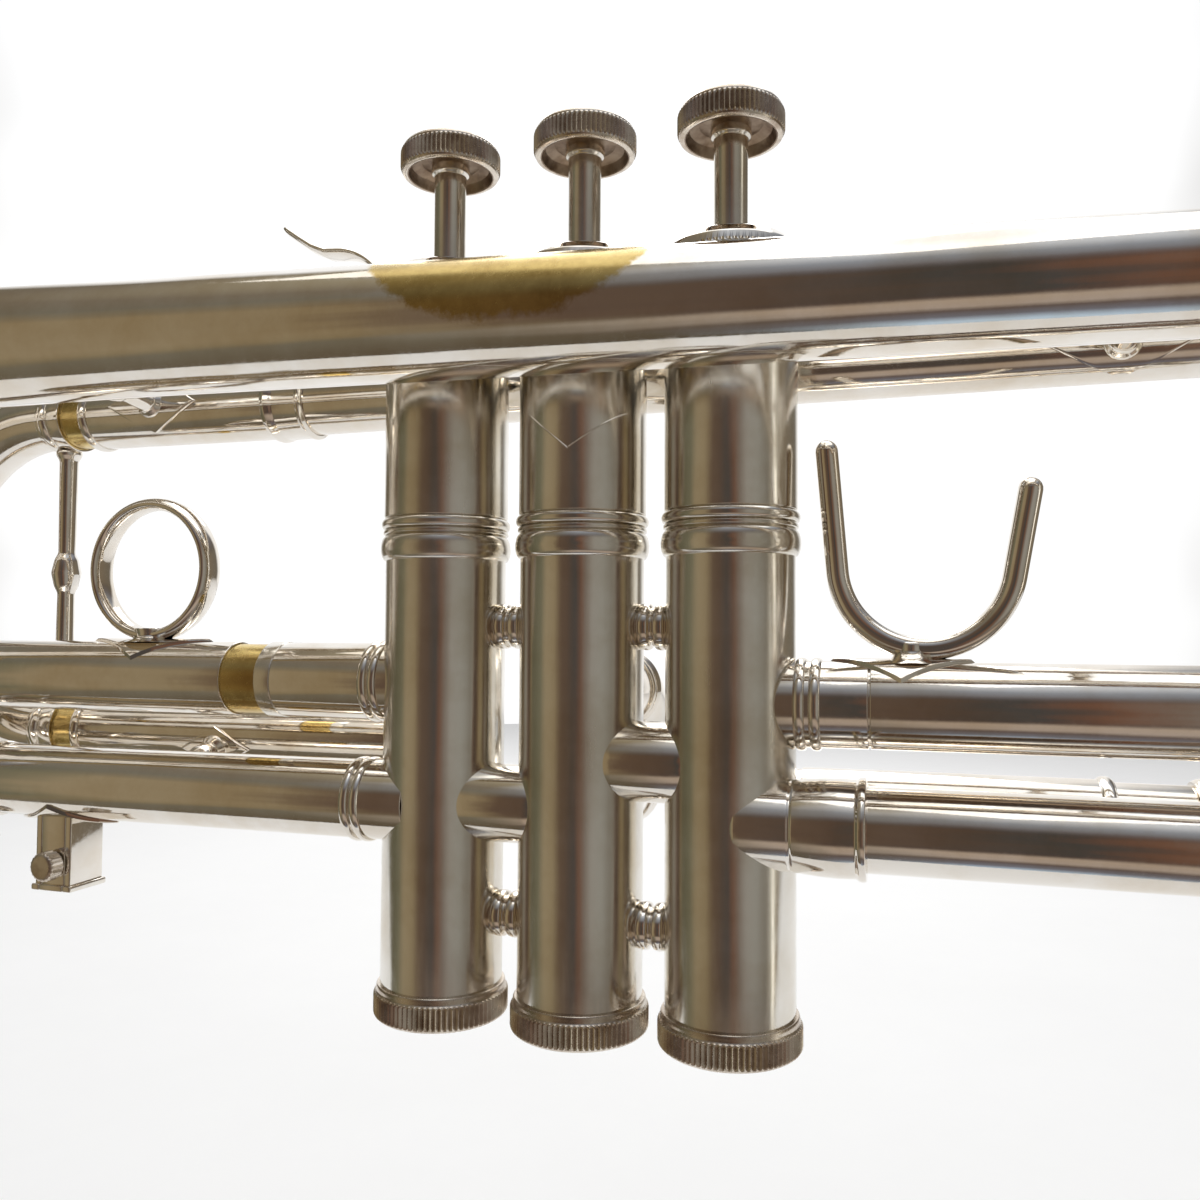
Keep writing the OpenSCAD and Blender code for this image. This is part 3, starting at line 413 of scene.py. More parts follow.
BELL_DIR = np.array((-math.cos(BELL_RISE), 0, math.sin(BELL_RISE)))
BELL_RIM = np.array((0, BELL_Y, BELL_Z)) + BELL_X * BELL_DIR
BACK = -BELL_DIR


def cone_r(s):
    """Radius of the bell's straight taper, s behind the rim."""
    return 8.77 + 0.0113 * (BELL_X - s)


def flare(s):
    """How the flare dies away behind the rim, from 1 down."""
    return 0.24 * (3 / (s + 3)) ** 1.5 + 0.76 * (60 / (s + 60)) ** 2.4


def bell_r(s):
    flare_end = 205
    if s >= flare_end:
        return cone_r(s)
    return cone_r(s) + (BELL_R - cone_r(0)) * (flare(s) - flare(flare_end)) / (1 - flare(flare_end))


steps = [(BELL_X + STEM_END) * (i / 130) ** 2.4 for i in range(131)]
rim_bead = 1.6
rim = [(61.3 + 1.58 * math.cos(math.radians(a)), rim_bead + rim_bead * math.sin(math.radians(a)))
       for a in range(60, -58, -9)]
inner = [(bell_r(s) - 0.6, s + 1.2) for s in steps[1:]]
outer = [(bell_r(s), s + rim_bead) for s in steps[3:]]
bell = Part("bell_shell").lathe(outer[::-1] + rim + [(61.0, 0.3)] + inner, BELL_RIM, BACK, 192,
                                soft=0)
bell.done("horn_body", "silver_plate", WORN, ["bell"])

bow_top = np.array((STEM_END * math.cos(BELL_RISE), BELL_Y,
                    BELL_Z - STEM_END * math.sin(BELL_RISE)))
bow_low = np.array((bow_top[0], TAIL_Y, TAIL_Z))
bow_up = (bow_top - bow_low) / np.linalg.norm(bow_top - bow_low)
bow_bend = np.linalg.norm(bow_top - bow_low) / 2
bow_r0 = cone_r(BELL_X + STEM_END)
bow = Part("bell_bow_tube")
bow.sweep(arc((bow_top + bow_low) / 2, bow_bend, 0, 180, bow_up, X_AXIS, 96),
          np.linspace(bow_r0, TAIL_R, 97), 72, wall=0.6)
bow.tube(X_AXIS, bow_low, -8, 0, 7.1, TAIL_R)
bow.done("horn_body", "silver_plate", SILVER, ["bell_bow"])

tail = Part("bell_tail_tube")
at = (0, TAIL_Y, TAIL_Z)
tail.tube(X_AXIS, at, 44, bow_low[0], TAIL_R, TAIL_R - 0.6)
knuckle = [(6.1, 26.2), (6.5, 26.35), (6.75, 26.9), (6.85, 28), (6.88, 31), (6.9, 34.6),
           (6.78, 34.95), (6.78, 35.1), (6.95, 35.4), (7.1, 37), (7.3, 39.5), (7.38, 42),
           (7.3, 44.2), (7.3, 44.5), (7.62, 44.9), (7.7, 45.4), (7.6, 45.9), (7.2, 46), (6.3, 46),
           (5.8, 44), (5.8, 26.2)]
tail.lathe(knuckle, at, X_AXIS, 128, soft=0.12)
tail.done("horn_body", "silver_plate", SILVER, ["bell_tail"])

# ---- braces ----

braces = Part("brace_rods")


def brace(a, r_a, b, r_b, rod_r, foot):
    """Turned rod between two tubes, with a diamond foot on each."""
    a, b = np.array(a, float), np.array(b, float)
    d = (b - a) / np.linalg.norm(b - a)
    s, e = a + d * (r_a - 0.3), b - d * (r_b - 0.3)
    length = np.linalg.norm(e - s)
    middle = length / 2
    waist = [(0, 0), (rod_r * 1.5, 0), (rod_r * 1.5, 0.9), (rod_r, 1.8),
             (rod_r * 0.9, middle - rod_r * 1.5), (rod_r * 1.2, middle - rod_r * 1.2),
             (rod_r * 1.42, middle), (rod_r * 1.2, middle + rod_r * 1.2),
             (rod_r * 0.9, middle + rod_r * 1.5), (rod_r, length - 1.8),
             (rod_r * 1.5, length - 0.9), (rod_r * 1.5, length), (0, length)]
    braces.lathe(waist, s, d, 48, False, soft=0.5)
    braces.diamond(a, X_AXIS, d, r_a, foot, foot * 0.62)
    braces.diamond(b, X_AXIS, -d, r_b, foot, foot * 0.62)


for x, r_lead in ((-97, OUTER_R), (84, 5.4)):
    brace((x, BELL_Y, BELL_Z - x * math.tan(BELL_RISE)), bell_r(BELL_X + x) + 0.1,
          (x, LEAD_Y, LEAD_Z), r_lead, 2, 22)
brace((-80, -3.6, -7.8), OUTER_R, (-80, LEAD_Y, 0), OUTER_R, 1.9, 16)
braces.done("horn_body", "silver_plate", SILVER, ["body_braces"])

# ---- leadpipe, receiver, mouthpiece ----

lead = (0, LEAD_Y, LEAD_Z)
pipe = Part("leadpipe_tube")
pipe.lathe([(5.75, -68), (6.3, -68), (4.9, 172), (4.3, 172)], lead, X_AXIS)
pipe.lathe([(6.25, -68), (6.3, -71), (7.25, -71), (7.5, -70), (7.25, -69), (6.98, -68.5),
            (6.9, -63.2), (7.15, -62.9), (7.15, -62.4), (6.4, -62), (6.25, -62)], lead, X_AXIS)
pipe.done("horn_body", "silver_plate", SILVER, ["leadpipe"])

receiver = Part("receiver_tube")
receiver.lathe([(r, 156 + t) for r, t in ((5.03, 0), (6.6, 0), (6.9, 1), (6.6, 2), (6.0, 3),
                                          (5.9, 14), (6.1, 22), (6.9, 23.5), (7.1, 25), (6.9, 26.5),
                                          (6.3, 28), (6.5, 46), (7.4, 48), (7.7, 50), (7.4, 52),
                                          (5.15, 52), (4.72, 18), (4.92, 16.02))], lead, X_AXIS,
               soft=0.6)
receiver.done("horn_body", "silver_plate", SILVER, ["mouthpiece_receiver"])

cup = Part("mouthpiece_turned")
cup.lathe([(r, 178 + t) for r, t in ((3.6, 0), (4.72, 0), (5.1, 29.5), (5.1, 33), (4.9, 38),
                                     (5.2, 42), (6.6, 47), (7.2, 50), (7.6, 56), (9.2, 61),
                                     (11.6, 66), (12.8, 72), (12.9, 77), (12.3, 79.5), (13.4, 81),
                                     (13.8, 84), (13.2, 86.4), (11.2, 87.2), (9, 86.4), (8.3, 84.5),
                                     (7.9, 81), (6.6, 77), (4.2, 74), (2.1, 72.4), (1.85, 71),
                                     (1.85, 66), (2.6, 48))], lead, X_AXIS, 128, soft=1.6)
cup.done("mouthpiece_body", "silver_plate", SILVER, ["mouthpiece"], angle=50)

# ---- main tuning slide ----

main_end, main_x, main_bow = -116, -124, -127
elbow_x = -PITCH - ELBOW_BEND
outer_tubes = Part("main_slide_tubes")
for z, start in ((LEAD_Z, -63), (0, elbow_x)):
    outer_tubes.tube(X_AXIS, (0, LEAD_Y, z), main_end, start, OUTER_R, SLEEVE_R)
    outer_tubes.bead(X_AXIS, (0, LEAD_Y, z), main_end + 1.2, OUTER_R, 0.5, 2)
outer_tubes.sweep(arc((elbow_x, LEAD_Y - ELBOW_BEND, 0), ELBOW_BEND, 90, 0, X_AXIS, Y_AXIS, 32),
                  ELBOW_R, 48, wall=ELBOW_WALL)
outer_tubes.done("horn_body", "silver_plate", SILVER, ["main_slide_outer"])

legs = Part("main_slide_inner_legs")
legs.tube(X_AXIS, lead, main_x, -80, INNER_R, PORT_R)
legs.tube(X_AXIS, (0, LEAD_Y, 0), main_x, -60, INNER_R, PORT_R)
legs.done("main_tuning_slide", "raw_brass", BRASS, ["main_slide_legs"])


def crook_ring(part, x, y, z, way):
    """Beaded ring over a crook's end; way is the side that the bow lies on."""
    r = CROOK_RING_R
    bead = [(r + 0.45 * math.sin(math.radians(18 * i)),
             1.8 - math.cos(math.radians(18 * i))) for i in range(11)]
    part.lathe([(PORT_R, 0), (r, 0), (r, 0.7)] + bead + [(r, 2.9), (r, 3), (PORT_R, 3)],
               (x + 3 * way, y, z), (-way, 0, 0), soft=0.08)


def key_seat(part, nipple, d, pivot, tube_z):
    """Water nipple, and the two posts and pin that a key swings on."""
    n, p = np.array(nipple), np.array(pivot)
    part.lathe([(1.4, -0.5), (2.6, -0.5), (2.6, 1.5), (2.3, 1.8), (1.4, 1.8)], n, d, 48)
    for side in (-1, 1):
        c = p + (0, side * 3.1, 0)
        part.rod(Y_AXIS, c, -0.45, 0.45, 1.5, 32, 0.1)
        part.block(c + (-1.5, -0.45, 0), c + (1.5, 0.45, tube_z - p[2] - 5.8), 0.15)
    part.rod(Y_AXIS, p, -3.7, 3.7, 0.95, 24, 0.15)
    part.ball(p + (0, 3.6, 0), 1.15, 20)
    part.ball(p + (0, -3.6, 0), 1.15, 20)


def key_lever(part, nipple, d, pivot, touch, plate_r):
    """Cork cup, bar over the pivot and thumb plate."""
    n, d, p, t = (np.array(x, float) for x in (nipple, d, pivot, touch))
    cup_at = n + 4.2 * d
    part.lathe([(2.9, -2.7), (3.4, -2.7), (3.4, -1.2), (2.8, 0.2), (1.2, 1.1), (0, 1.15), (0, 0.4),
                (2.6, -0.4), (2.9, -1)], cup_at, d, 48, soft=0.15)
    part.sweep([cup_at + 0.5 * d, cup_at + 1.0 * d + 0.3 * (p - cup_at), (cup_at + p) / 2 + 0.6 * d,
                p], 1.0, 24)
    part.sweep([p, (p + t) / 2 + np.array((0, 0, -0.3)), t], 1.0, 24)
    part.rod(Y_AXIS, p, -2.5, 2.5, 1.9, 36, 0.2)
    part.lathe([(0, -0.9), (plate_r - 0.5, -0.9), (plate_r, -0.4), (plate_r, 0.2),
                (plate_r - 0.6, 0.55), (plate_r * 0.5, 0.4), (0, 0.35)], t, Z_AXIS, 48, False,
               soft=0.25)


def key_spring(name, pivot, body):
    """Light coil spring wound beside the key's barrel."""
    p = np.array(pivot, float)
    coil_r, turns, turn_gap = 2.15, 5.5, 0.72
    coil = [p + (coil_r * math.cos(q), 2.0 - turn_gap * q / (2 * math.pi), coil_r * math.sin(q))
            for q in np.linspace(0, turns * 2 * math.pi, 140)]
    Part(name).sweep(coil, 0.18, 8).done(body, "spring_steel", STEEL, angle=60)


def key_cork(name, nipple, d, body, node):
    pad = Part(name).lathe([(0, 1.8), (2.85, 1.8), (2.85, 4.2), (0, 4.2)], nipple, d, 40, False)
    pad.done(body, "cork", CORK, [node])


def key_dir(up):
    """Way out of a crook through its water nipple."""
    q = math.radians(205)
    return math.sin(q) * np.array(X_AXIS, float) + math.cos(q) * np.array(up, float)


mid_z = bend = LEAD_Z / 2
crook = Part("main_slide_bow")
crook.sweep(arc((main_bow, LEAD_Y, mid_z), bend, 90, 270, X_AXIS, Z_AXIS, 96), INNER_R, 64,
            wall=BOW_WALL)
for z in (LEAD_Z, 0):
    crook_ring(crook, main_x, LEAD_Y, z, -1)
    crook.tube(X_AXIS, (0, LEAD_Y, z), main_x, main_x + 3, CROOK_RING_R, INNER_R)
crook.lathe([(0, 0), (2.6, 0), (2.6, 1), (1.9, 2.2), (1.7, bend - 11), (2.4, bend - 9.6),
             (3, bend - 6.7), (2.4, bend - 3.8), (1.7, bend - 2.4), (1.9, 2 * bend - 15.6),
             (2.6, 2 * bend - 14.4), (2.6, 2 * bend - 13.4), (0, 2 * bend - 13.4)],
            (main_x, LEAD_Y, 6.7), Z_AXIS, 48, False, soft=0.5)
main_dir = key_dir(Z_AXIS)
main_nipple = np.array((main_bow, LEAD_Y, mid_z)) + (bend + INNER_R) * main_dir
main_pivot = (main_bow, LEAD_Y, -10.4)
key_seat(crook, main_nipple, main_dir, main_pivot, 0)
crook.done("main_tuning_slide", "silver_plate", SILVER, ["main_slide_crook"])
key = Part("main_key_lever_bar")
key_lever(key, main_nipple, main_dir, main_pivot, (main_bow + 17, LEAD_Y, -13), 4.2)
key.done("main_key_lever", "silver_plate", SILVER, ["main_water_key"])
key_cork("main_key_cork", main_nipple, main_dir, "main_key_lever", "main_water_cork")
key_spring("main_key_spring", main_pivot, "main_tuning_slide")

# ---- valves ----

spools = Part("casing_spool_set")
for x in (-PITCH / 2, PITCH / 2):
    for z in (21.9, -26.2):
        ring = [(0, -4.6), (3.45, -4.6), (3.45, -3.6), (3.0, -3.2), (3.0, -2.4), (3.7, -2.1),
                (3.85, -1.3), (3.7, -0.5), (3.1, -0.2), (3.1, 0.2), (3.7, 0.5), (3.85, 1.3),
                (3.7, 2.1), (3.0, 2.4), (3.0, 3.2), (3.45, 3.6), (3.45, 4.6), (0, 4.6)]
        spools.lathe(ring, (x, 0, z), X_AXIS, 72, False, soft=0.3)
spools.done("horn_body", "silver_plate", SILVER, ["casing_spools"])

cross = Part("crossover_tubes")
for x, z in ((-PITCH / 2, -7.5), (PITCH / 2, 0.3)):
    cross.lathe([(0, -7.2), (5.6, -7.0), (6.2, -6.4), (6.42, -5), (6.45, 0), (6.42, 5), (6.2, 6.4),
                 (5.6, 7.0), (0, 7.2)], (x, -2, z), X_AXIS, 96, False, soft=0.6)
cross.done("horn_body", "silver_plate", SILVER, ["crossover_knuckles"], angle=60)

for n, x in ((1, PITCH), (2, 0), (3, -PITCH)):
    o = (x, 0, 0)
    casing = Part(f"casing_{n}")
    beads = []
    for at_z, r, h, length in ((35.1, CASING_R, 0.85, 4.2), (39.2, CASING_R, 0.75, 1.9)):
        beads += [(r + h * math.sin(math.pi * i / 12),
                   at_z - length / 2 * math.cos(math.pi * i / 12)) for i in range(13)]
    casing.lathe([(8.55, -41.5), (9.9, -41.5), (9.9, -38.4), (CASING_R, -38.2), (CASING_R, 32.9)] +
                 beads[:13] + [(10.4, 37.25), (10.75, 37.5), (10.75, 38.0), (10.45, 38.2)] +
                 beads[13:] + [(10.55, 40.3), (BALUSTER_R, 40.6), (BALUSTER_R, 81), (9.4, 81),
                               (9.4, 35.8), (8.55, 35.8)], o, Z_AXIS, 128, soft=0.1)
    if n == 2:
        # Fine V line on the middle casing
        line = [(-6.5, 55.9), (0.8, 49.9), (9.1, 55.9)]
        for (xa, za), (xb, zb) in zip(line[:-1], line[1:]):
            path = []
            for t in np.linspace(0, 1, 20):
                q = xa + (xb - xa) * t
                path.append((q, -math.sqrt(BALUSTER_R ** 2 - q * q) - 0.01, za + (zb - za) * t))
            casing.sweep(path, 0.11, 8)
    casing.done("horn_body", "silver_plate", SATIN, [f"valve_casing_{n}"], angle=25)

    top = Part(f"top_cap_shell_{n}")
    top.lathe([(10.6, 74.4, 0), (11.1, 74.4, 0), (11.3, 75, 0), (11.3, 75.3, 1), (11.4, 75.4, 1),
               (11.4, 80.1, 1), (11.3, 80.3, 1), (11.2, 80.6, 0), (10.9, 81.8, 0), (9.4, 83.2, 0),
               (7, 84.2, 0), (4.8, 84.7, 0), (3.1, 84.7, 0), (3.1, 81, 0), (10.6, 81, 0)], o,
              Z_AXIS, knurl=72, depth=0.32, soft=0.2)
    top.done("horn_body", "silver_plate", SILVER, [f"top_cap_{n}"])

    low = Part(f"bottom_cap_shell_{n}")
    low.lathe([(9.9, -38.12, 0), (10.75, -38.12, 0), (10.9, -38.5, 0), (10.85, -39.1, 0),
               (11.0, -39.35, 0), (11.25, -39.5, 0.4), (11.35, -39.8, 1), (11.35, -42.8, 1),
               (11.2, -43.2, 0.5), (10.7, -43.6, 0), (8.6, -44.1, 0), (5, -44.4, 0), (2, -44.5, 0),
               (2, -42.9, 0), (8.5, -42.4, 0), (9.9, -41.6, 0)], o, Z_AXIS, knurl=78, depth=0.42,
              soft=0.2)
    low.done("horn_body", "silver_plate", AGED, [f"bottom_cap_{n}"])

    body = f"valve_{n}"
    stem = Part(f"stem_{n}")
    stem.lathe([(0, 75), (6.8, 75), (6.8, 76), (7.4, 76), (7.4, 78.5), (2.75, 78.5), (2.75, 100.6),
                (3.3, 101), (3.3, 103.8), (0, 103.8)], o, Z_AXIS, 64, False, soft=0.15)
    stem.done(body, "silver_plate", SATIN, [f"valve_stem_{n}"])

    # Shell of the button: knurled rim, shiny top ring and hollow underside, which the next piece
    # darkens with painted shade
    button = Part(f"button_{n}")
    button.lathe([(2.75, 103.4, 0), (2.9, 103.1, 0), (5.2, 103.3, 0), (6.8, 102.6, 0),
                  (7.25, 101.6, 0), (7.35, 100.9, 0), (7.75, 100.8, 0), (8.3, 101.0, 0),
                  (8.4, 101.35, 0), (8.55, 101.5, 0.5), (8.68, 101.8, 1), (8.68, 104.4, 1),
                  (8.55, 104.75, 0.5), (8.35, 104.9, 0), (8.3, 105.2, 0), (7.9, 105.75, 0),
                  (7.35, 106.05, 0), (7.05, 105.9, 0), (7.0, 105.1, 0), (2.75, 105.1, 0)], o,
                 Z_AXIS, knurl=66, depth=0.45, soft=0.18)
    button.done(body, "silver_plate", AGED, [f"finger_button_{n}"])
    # Painted shade: a near-black copy of the button's underside, set just below it, darkens the
    # hollow under the button
    under = Part(f"button_painted_shade_{n}")
    under.lathe([(3.2, 103.05), (5.2, 103.2), (6.7, 102.5), (7.15, 101.5), (7.3, 100.95),
                 (7.5, 100.85), (7.45, 101.8), (6.9, 103.2), (3.2, 103.3)], (x, 0, -0.06), Z_AXIS,
                72, soft=0.1)
    under.done(body, "silver_plate", PAINTED_SHADE)
    top = [(0, 105.1), (7.0, 105.1)] + [(7.0 * math.cos(q), 105.9 + 1.05 * math.sin(q))
                                        for q in np.radians(np.linspace(0, 90, 14))]
    Part(f"pearl_{n}").lathe(top, o, Z_AXIS, 72, False, soft=0).done(
        body, "pearl", PEARL, [f"button_pearl_{n}"])

# ---- first slide ----

first = Part("first_slide_tubes")
for r, start, end in ((OUTER_R, PITCH + 3, 46.2), (INNER_R, 46, 88)):
    first.tube(X_AXIS, (0, 0, FIRST_Z), start, end, r, PORT_R, 128)
for x in (36.1, 38.4):
    first.bead(X_AXIS, (0, 0, FIRST_Z), x, OUTER_R, 0.5, 1.7, 128)
first.tube(X_AXIS, (0, *FIRST_LOW), PITCH + ELBOW_BEND, 82, OUTER_R, SLEEVE_R)
first.bead(X_AXIS, (0, *FIRST_LOW), 80.8, OUTER_R, 0.5, 2)
first.sweep(arc((PITCH + ELBOW_BEND, FIRST_LOW[0] - ELBOW_BEND, FIRST_LOW[1]), ELBOW_BEND, 90, 180,
                X_AXIS, Y_AXIS, 32), ELBOW_R, 48, wall=ELBOW_WALL)
first.done("horn_body", "silver_plate", SILVER, ["first_slide_outer"])

sleeve = Part("first_slide_sleeve")
sleeve.tube(X_AXIS, (0, 0, FIRST_Z), 46.5, 93, OUTER_R, SLEEVE_R, 128)
sleeve.tube(X_AXIS, (0, *FIRST_LOW), 48, 93, INNER_R, PORT_R)
sleeve.done("first_slide", "silver_plate", SILVER, ["first_slide_legs"])


def leaning_bow(part, x, z_top, low, way):
    """Half-circle bow between the upper tube at y 0 and the lower tube."""
    a, b = np.array((x, 0.0, z_top)), np.array((x, low[0], low[1]), float)
    up = (a - b) / np.linalg.norm(a - b)
    r = np.linalg.norm(a - b) / 2
    part.sweep(arc((a + b) / 2, r, 0, 180, up, (way, 0, 0), 72), INNER_R, 64, wall=BOW_WALL)
    for p in (a, b):
        crook_ring(part, x - 3 * way, p[1], p[2], way)
    return (a + b) / 2, r, up


def pull_knob(part, centre, r, d):
    """Knob on the top of a bow, to pull the slide by."""
    part.lathe([(0, -0.6), (2.6, -0.6), (2.0, 0.6), (1.8, 1.8), (2.2, 2.5), (3.4, 2.8), (3.6, 3.6),
                (3.4, 4.4), (2.4, 4.75), (0, 4.8)], np.array(centre) + (r + INNER_R) * np.array(d),
               d, 48, False, soft=0.3)


bow = Part("first_slide_bow")
centre, r, up = leaning_bow(bow, 96, FIRST_Z, FIRST_LOW, 1)
pull_knob(bow, centre, r, X_AXIS)
bow.done("first_slide", "silver_plate", SILVER, ["first_slide_crook"])

saddle = Part("thumb_saddle_rod")
saddle_mid, saddle_r, rod_r = np.array((54.3, 0, 31.6)), 12.9, 1.75
left, right = 184.8, 350.0


def on_saddle(q):
    return saddle_mid + saddle_r * np.array((math.cos(math.radians(q)), 0,
                                             math.sin(math.radians(q))))


def tangent(q):
    return np.array((-math.sin(math.radians(q)), 0, math.cos(math.radians(q))))


path = [on_saddle(left) - tangent(left) * t for t in np.linspace(18.8, 0, 20, endpoint=False)]
path += [on_saddle(q) for q in np.linspace(left, right, 64)]
path += [on_saddle(right) + tangent(right) * t
         for t in np.linspace(13.2, 0, 14, endpoint=False)][::-1]
saddle.sweep(path, rod_r, 32)
saddle.diamond((50.9, 0, FIRST_Z), X_AXIS, Z_AXIS, OUTER_R, 21, 14.5, 0.55, curve=1.1)
saddle.lathe([(0, 0), (4.4, 0), (3.0, 0.7), (2.2, 1.6), (2.0, 3.2), (0, 3.2)],
             (52.3, 0, FIRST_Z + OUTER_R - 0.2), Z_AXIS, 48, False, soft=0.4)
saddle.done("first_slide", "silver_plate", SILVER, ["thumb_saddle"])

# ---- second slide ----

second = Part("second_slide_tubes")
bow = Part("second_slide_bend")
second_mid, second_bend = (0, 27.6, 1.45), 9.15
for z in (10.6, -7.7):
    second.tube(Y_AXIS, (0, 0, z), 8.5, 24, OUTER_R, SLEEVE_R)
    for y in (13.4, 22.6):
        second.bead(Y_AXIS, (0, 0, z), y, OUTER_R, 0.45, 1.8)
    bow.tube(Y_AXIS, (0, 0, z), 11.3, 27.6, INNER_R, PORT_R)
    bow.lathe([(PORT_R, 24.6), (6.9, 24.6), (7.1, 25.4), (7.35, 26.1), (7.1, 26.8), (6.9, 27.6),
               (PORT_R, 27.6)], (0, 0, z), Y_AXIS, soft=0.2)
bow.sweep(arc(second_mid, second_bend, 90, -90, Y_AXIS, Z_AXIS, 64), INNER_R, 64, wall=BOW_WALL)
pull_knob(bow, second_mid, second_bend, Y_AXIS)
second.done("horn_body", "silver_plate", SILVER, ["second_slide_outer"])
bow.done("second_slide", "silver_plate", SILVER, ["second_slide_bow"])

# ---- third slide ----

third = Part("third_slide_tubes")
third.tube(X_AXIS, (0, 0, THIRD_Z), -55.5, -PITCH - 3, OUTER_R, PORT_R, 128)
for x in (-37.3, -35.4):
    third.bead(X_AXIS, (0, 0, THIRD_Z), x, OUTER_R, 0.5, 1.6, 128)
third.tube(X_AXIS, (0, *THIRD_LOW), -118, -PITCH - 3, OUTER_R, SLEEVE_R, 128)
for x in (-38.3, -36.4):
    third.bead(X_AXIS, (0, *THIRD_LOW), x, OUTER_R, 0.5, 1.6, 128)
third.bead(X_AXIS, (0, *THIRD_LOW), -116.8, OUTER_R, 0.5, 2)
third.done("horn_body", "silver_plate", SILVER, ["third_slide_outer"])
ring = Part("third_slide_end_ring")
ring.tube(X_AXIS, (0, 0, THIRD_Z), -58.6, -55.5, OUTER_R + 0.1, PORT_R, 128)
ring.done("horn_body", "silver_plate", SATIN)
inner = Part("third_slide_brass_leg")
inner.tube(X_AXIS, (0, 0, THIRD_Z), -117, -58.4, INNER_R, PORT_R, 128)
inner.done("horn_body", "raw_brass", BRASS)

sleeve = Part("third_slide_sleeve")
sleeve.tube(X_AXIS, (0, 0, THIRD_Z), -127, -65.9, OUTER_R, SLEEVE_R, 128)
sleeve.tube(X_AXIS, (0, *THIRD_LOW), -127, -48, INNER_R, PORT_R)
sleeve.done("third_slide", "silver_plate", SILVER, ["third_slide_legs"])

bow = Part("third_slide_bow")
centre, r, up = leaning_bow(bow, -130, THIRD_Z, THIRD_LOW, -1)
third_dir = key_dir(up)
third_nipple = centre + (r + INNER_R) * third_dir
third_pivot = (-131.5, THIRD_LOW[0], THIRD_LOW[1] - 10)
key_seat(bow, third_nipple, third_dir, third_pivot, THIRD_LOW[1])
bow.done("third_slide", "silver_plate", SILVER, ["third_slide_crook"])
key = Part("third_key_lever_bar")
key_lever(key, third_nipple, third_dir, third_pivot, (-122, THIRD_LOW[0], THIRD_LOW[1] - 11.4), 3.2)
key.done("third_key_lever", "silver_plate", SILVER, ["third_water_key"])
key_cork("third_key_cork", third_nipple, third_dir, "third_key_lever", "third_water_cork")
key_spring("third_key_spring", third_pivot, "third_slide")

# Crowned band of the finger ring
finger = Part("finger_ring_band")
ring_x = -85.6
section = [(12.3 + 1.35 * math.cos(q) * (1.0 if math.cos(q) > 0 else 0.8), 2.6 * math.sin(q))
           for q in np.radians(np.arange(0, 360, 15))]
finger.lathe(section, (ring_x, 0, 32.5), (0, 1, 0), 160, soft=0)
finger.diamond((ring_x, 0, THIRD_Z), X_AXIS, Z_AXIS, OUTER_R, 27, 15.5, 0.55, curve=1.15)
finger.lathe([(0, 0), (5.4, 0), (3.6, 0.5), (2.9, 1.2), (3.4, 2.6), (0, 2.6)],
             (ring_x, 0, THIRD_Z + OUTER_R - 0.1), Z_AXIS, 48, False, soft=0.4)
finger.done("third_slide", "silver_plate", SILVER, ["finger_ring"])

# ---- fittings ----

hook = Part("pinky_hook_strip")
hook_y, hook_r, pipe_r = LEAD_Y + 0.5, 12.6, 6.32
path = arc((-58, hook_y, 84.5), hook_r, -14, 88, X_AXIS, Z_AXIS, 40)
path = [(-44.2, hook_y, 72.6), (-44.3, hook_y, 76), (-44.8, hook_y, 79)] + list(path) + [
    (-60, hook_y, 97.3), (-63, hook_y, 98.6), (-66, hook_y, 100.6), (-68, hook_y, 102)]
hook.sweep(path, 3.0, 40, side=(1, 0, 0), flat=0.3)
hook.diamond((-44, LEAD_Y, LEAD_Z), X_AXIS, Z_AXIS, pipe_r, 22, 12)
hook.done("horn_body", "silver_plate", SILVER, ["pinky_hook"])

lyre = Part("lyre_socket_block")
lx, ly, lz = -100.5, THIRD_LOW[0], THIRD_LOW[1] - OUTER_R
for half, z0, z1, soft in ((4, -13, 0.9, 0.25), (4.5, -13, -11.8, 0.3)):
    for dx0, dx1, dy0, dy1 in ((-half, -2.6, -half, half), (2.6, half, -half, half),
                               (-2.7, 2.7, -half, -2.6), (-2.7, 2.7, 2.6, half)):
        lyre.block((lx + dx0, ly + dy0, lz + z0), (lx + dx1, ly + dy1, lz + z1), soft)
lyre.block((lx - 3.4, ly - 3.4, lz - 1.5), (lx + 3.4, ly + 3.4, lz + 0.9), 0.3)
lyre.diamond((lx, THIRD_LOW[0], THIRD_LOW[1]), X_AXIS, (0, 0, -1), OUTER_R, 23, 15, 0.55)
lyre.done("horn_body", "silver_plate", SILVER, ["lyre_holder"])
screw = Part("lyre_clamp_screw_head")
at = (lx + 0.6, ly, lz - 8)
screw.lathe([(0, 2.4, 0), (1.5, 2.4, 0), (1.5, 4.4, 0), (2.3, 4.4, 0), (2.7, 4.8, 0.5),
             (2.7, 5.0, 1), (2.7, 7.0, 1), (2.5, 7.3, 0.3), (2.0, 7.55, 0), (0, 7.6, 0)], at,
            (0, -1, 0), loop=False, knurl=20, depth=0.25)
screw.done("lyre_clamp_screw", "silver_plate", AGED, ["lyre_screw"])

# ---- CAD nodes that stay ----

for name, shader in (("bell_rim_wire", BRASS), ("valve_guide", BRASS), ("valve_spring", STEEL),
                     ("piston", MONEL), ("valve_felt", FELT)):
    for node_name, obj in nodes.items():
        if node_name == name or node_name[:-2] == name:
            obj.data.materials.clear()
            obj.data.materials.append(shader.material)

# ---- floor, light, camera ----

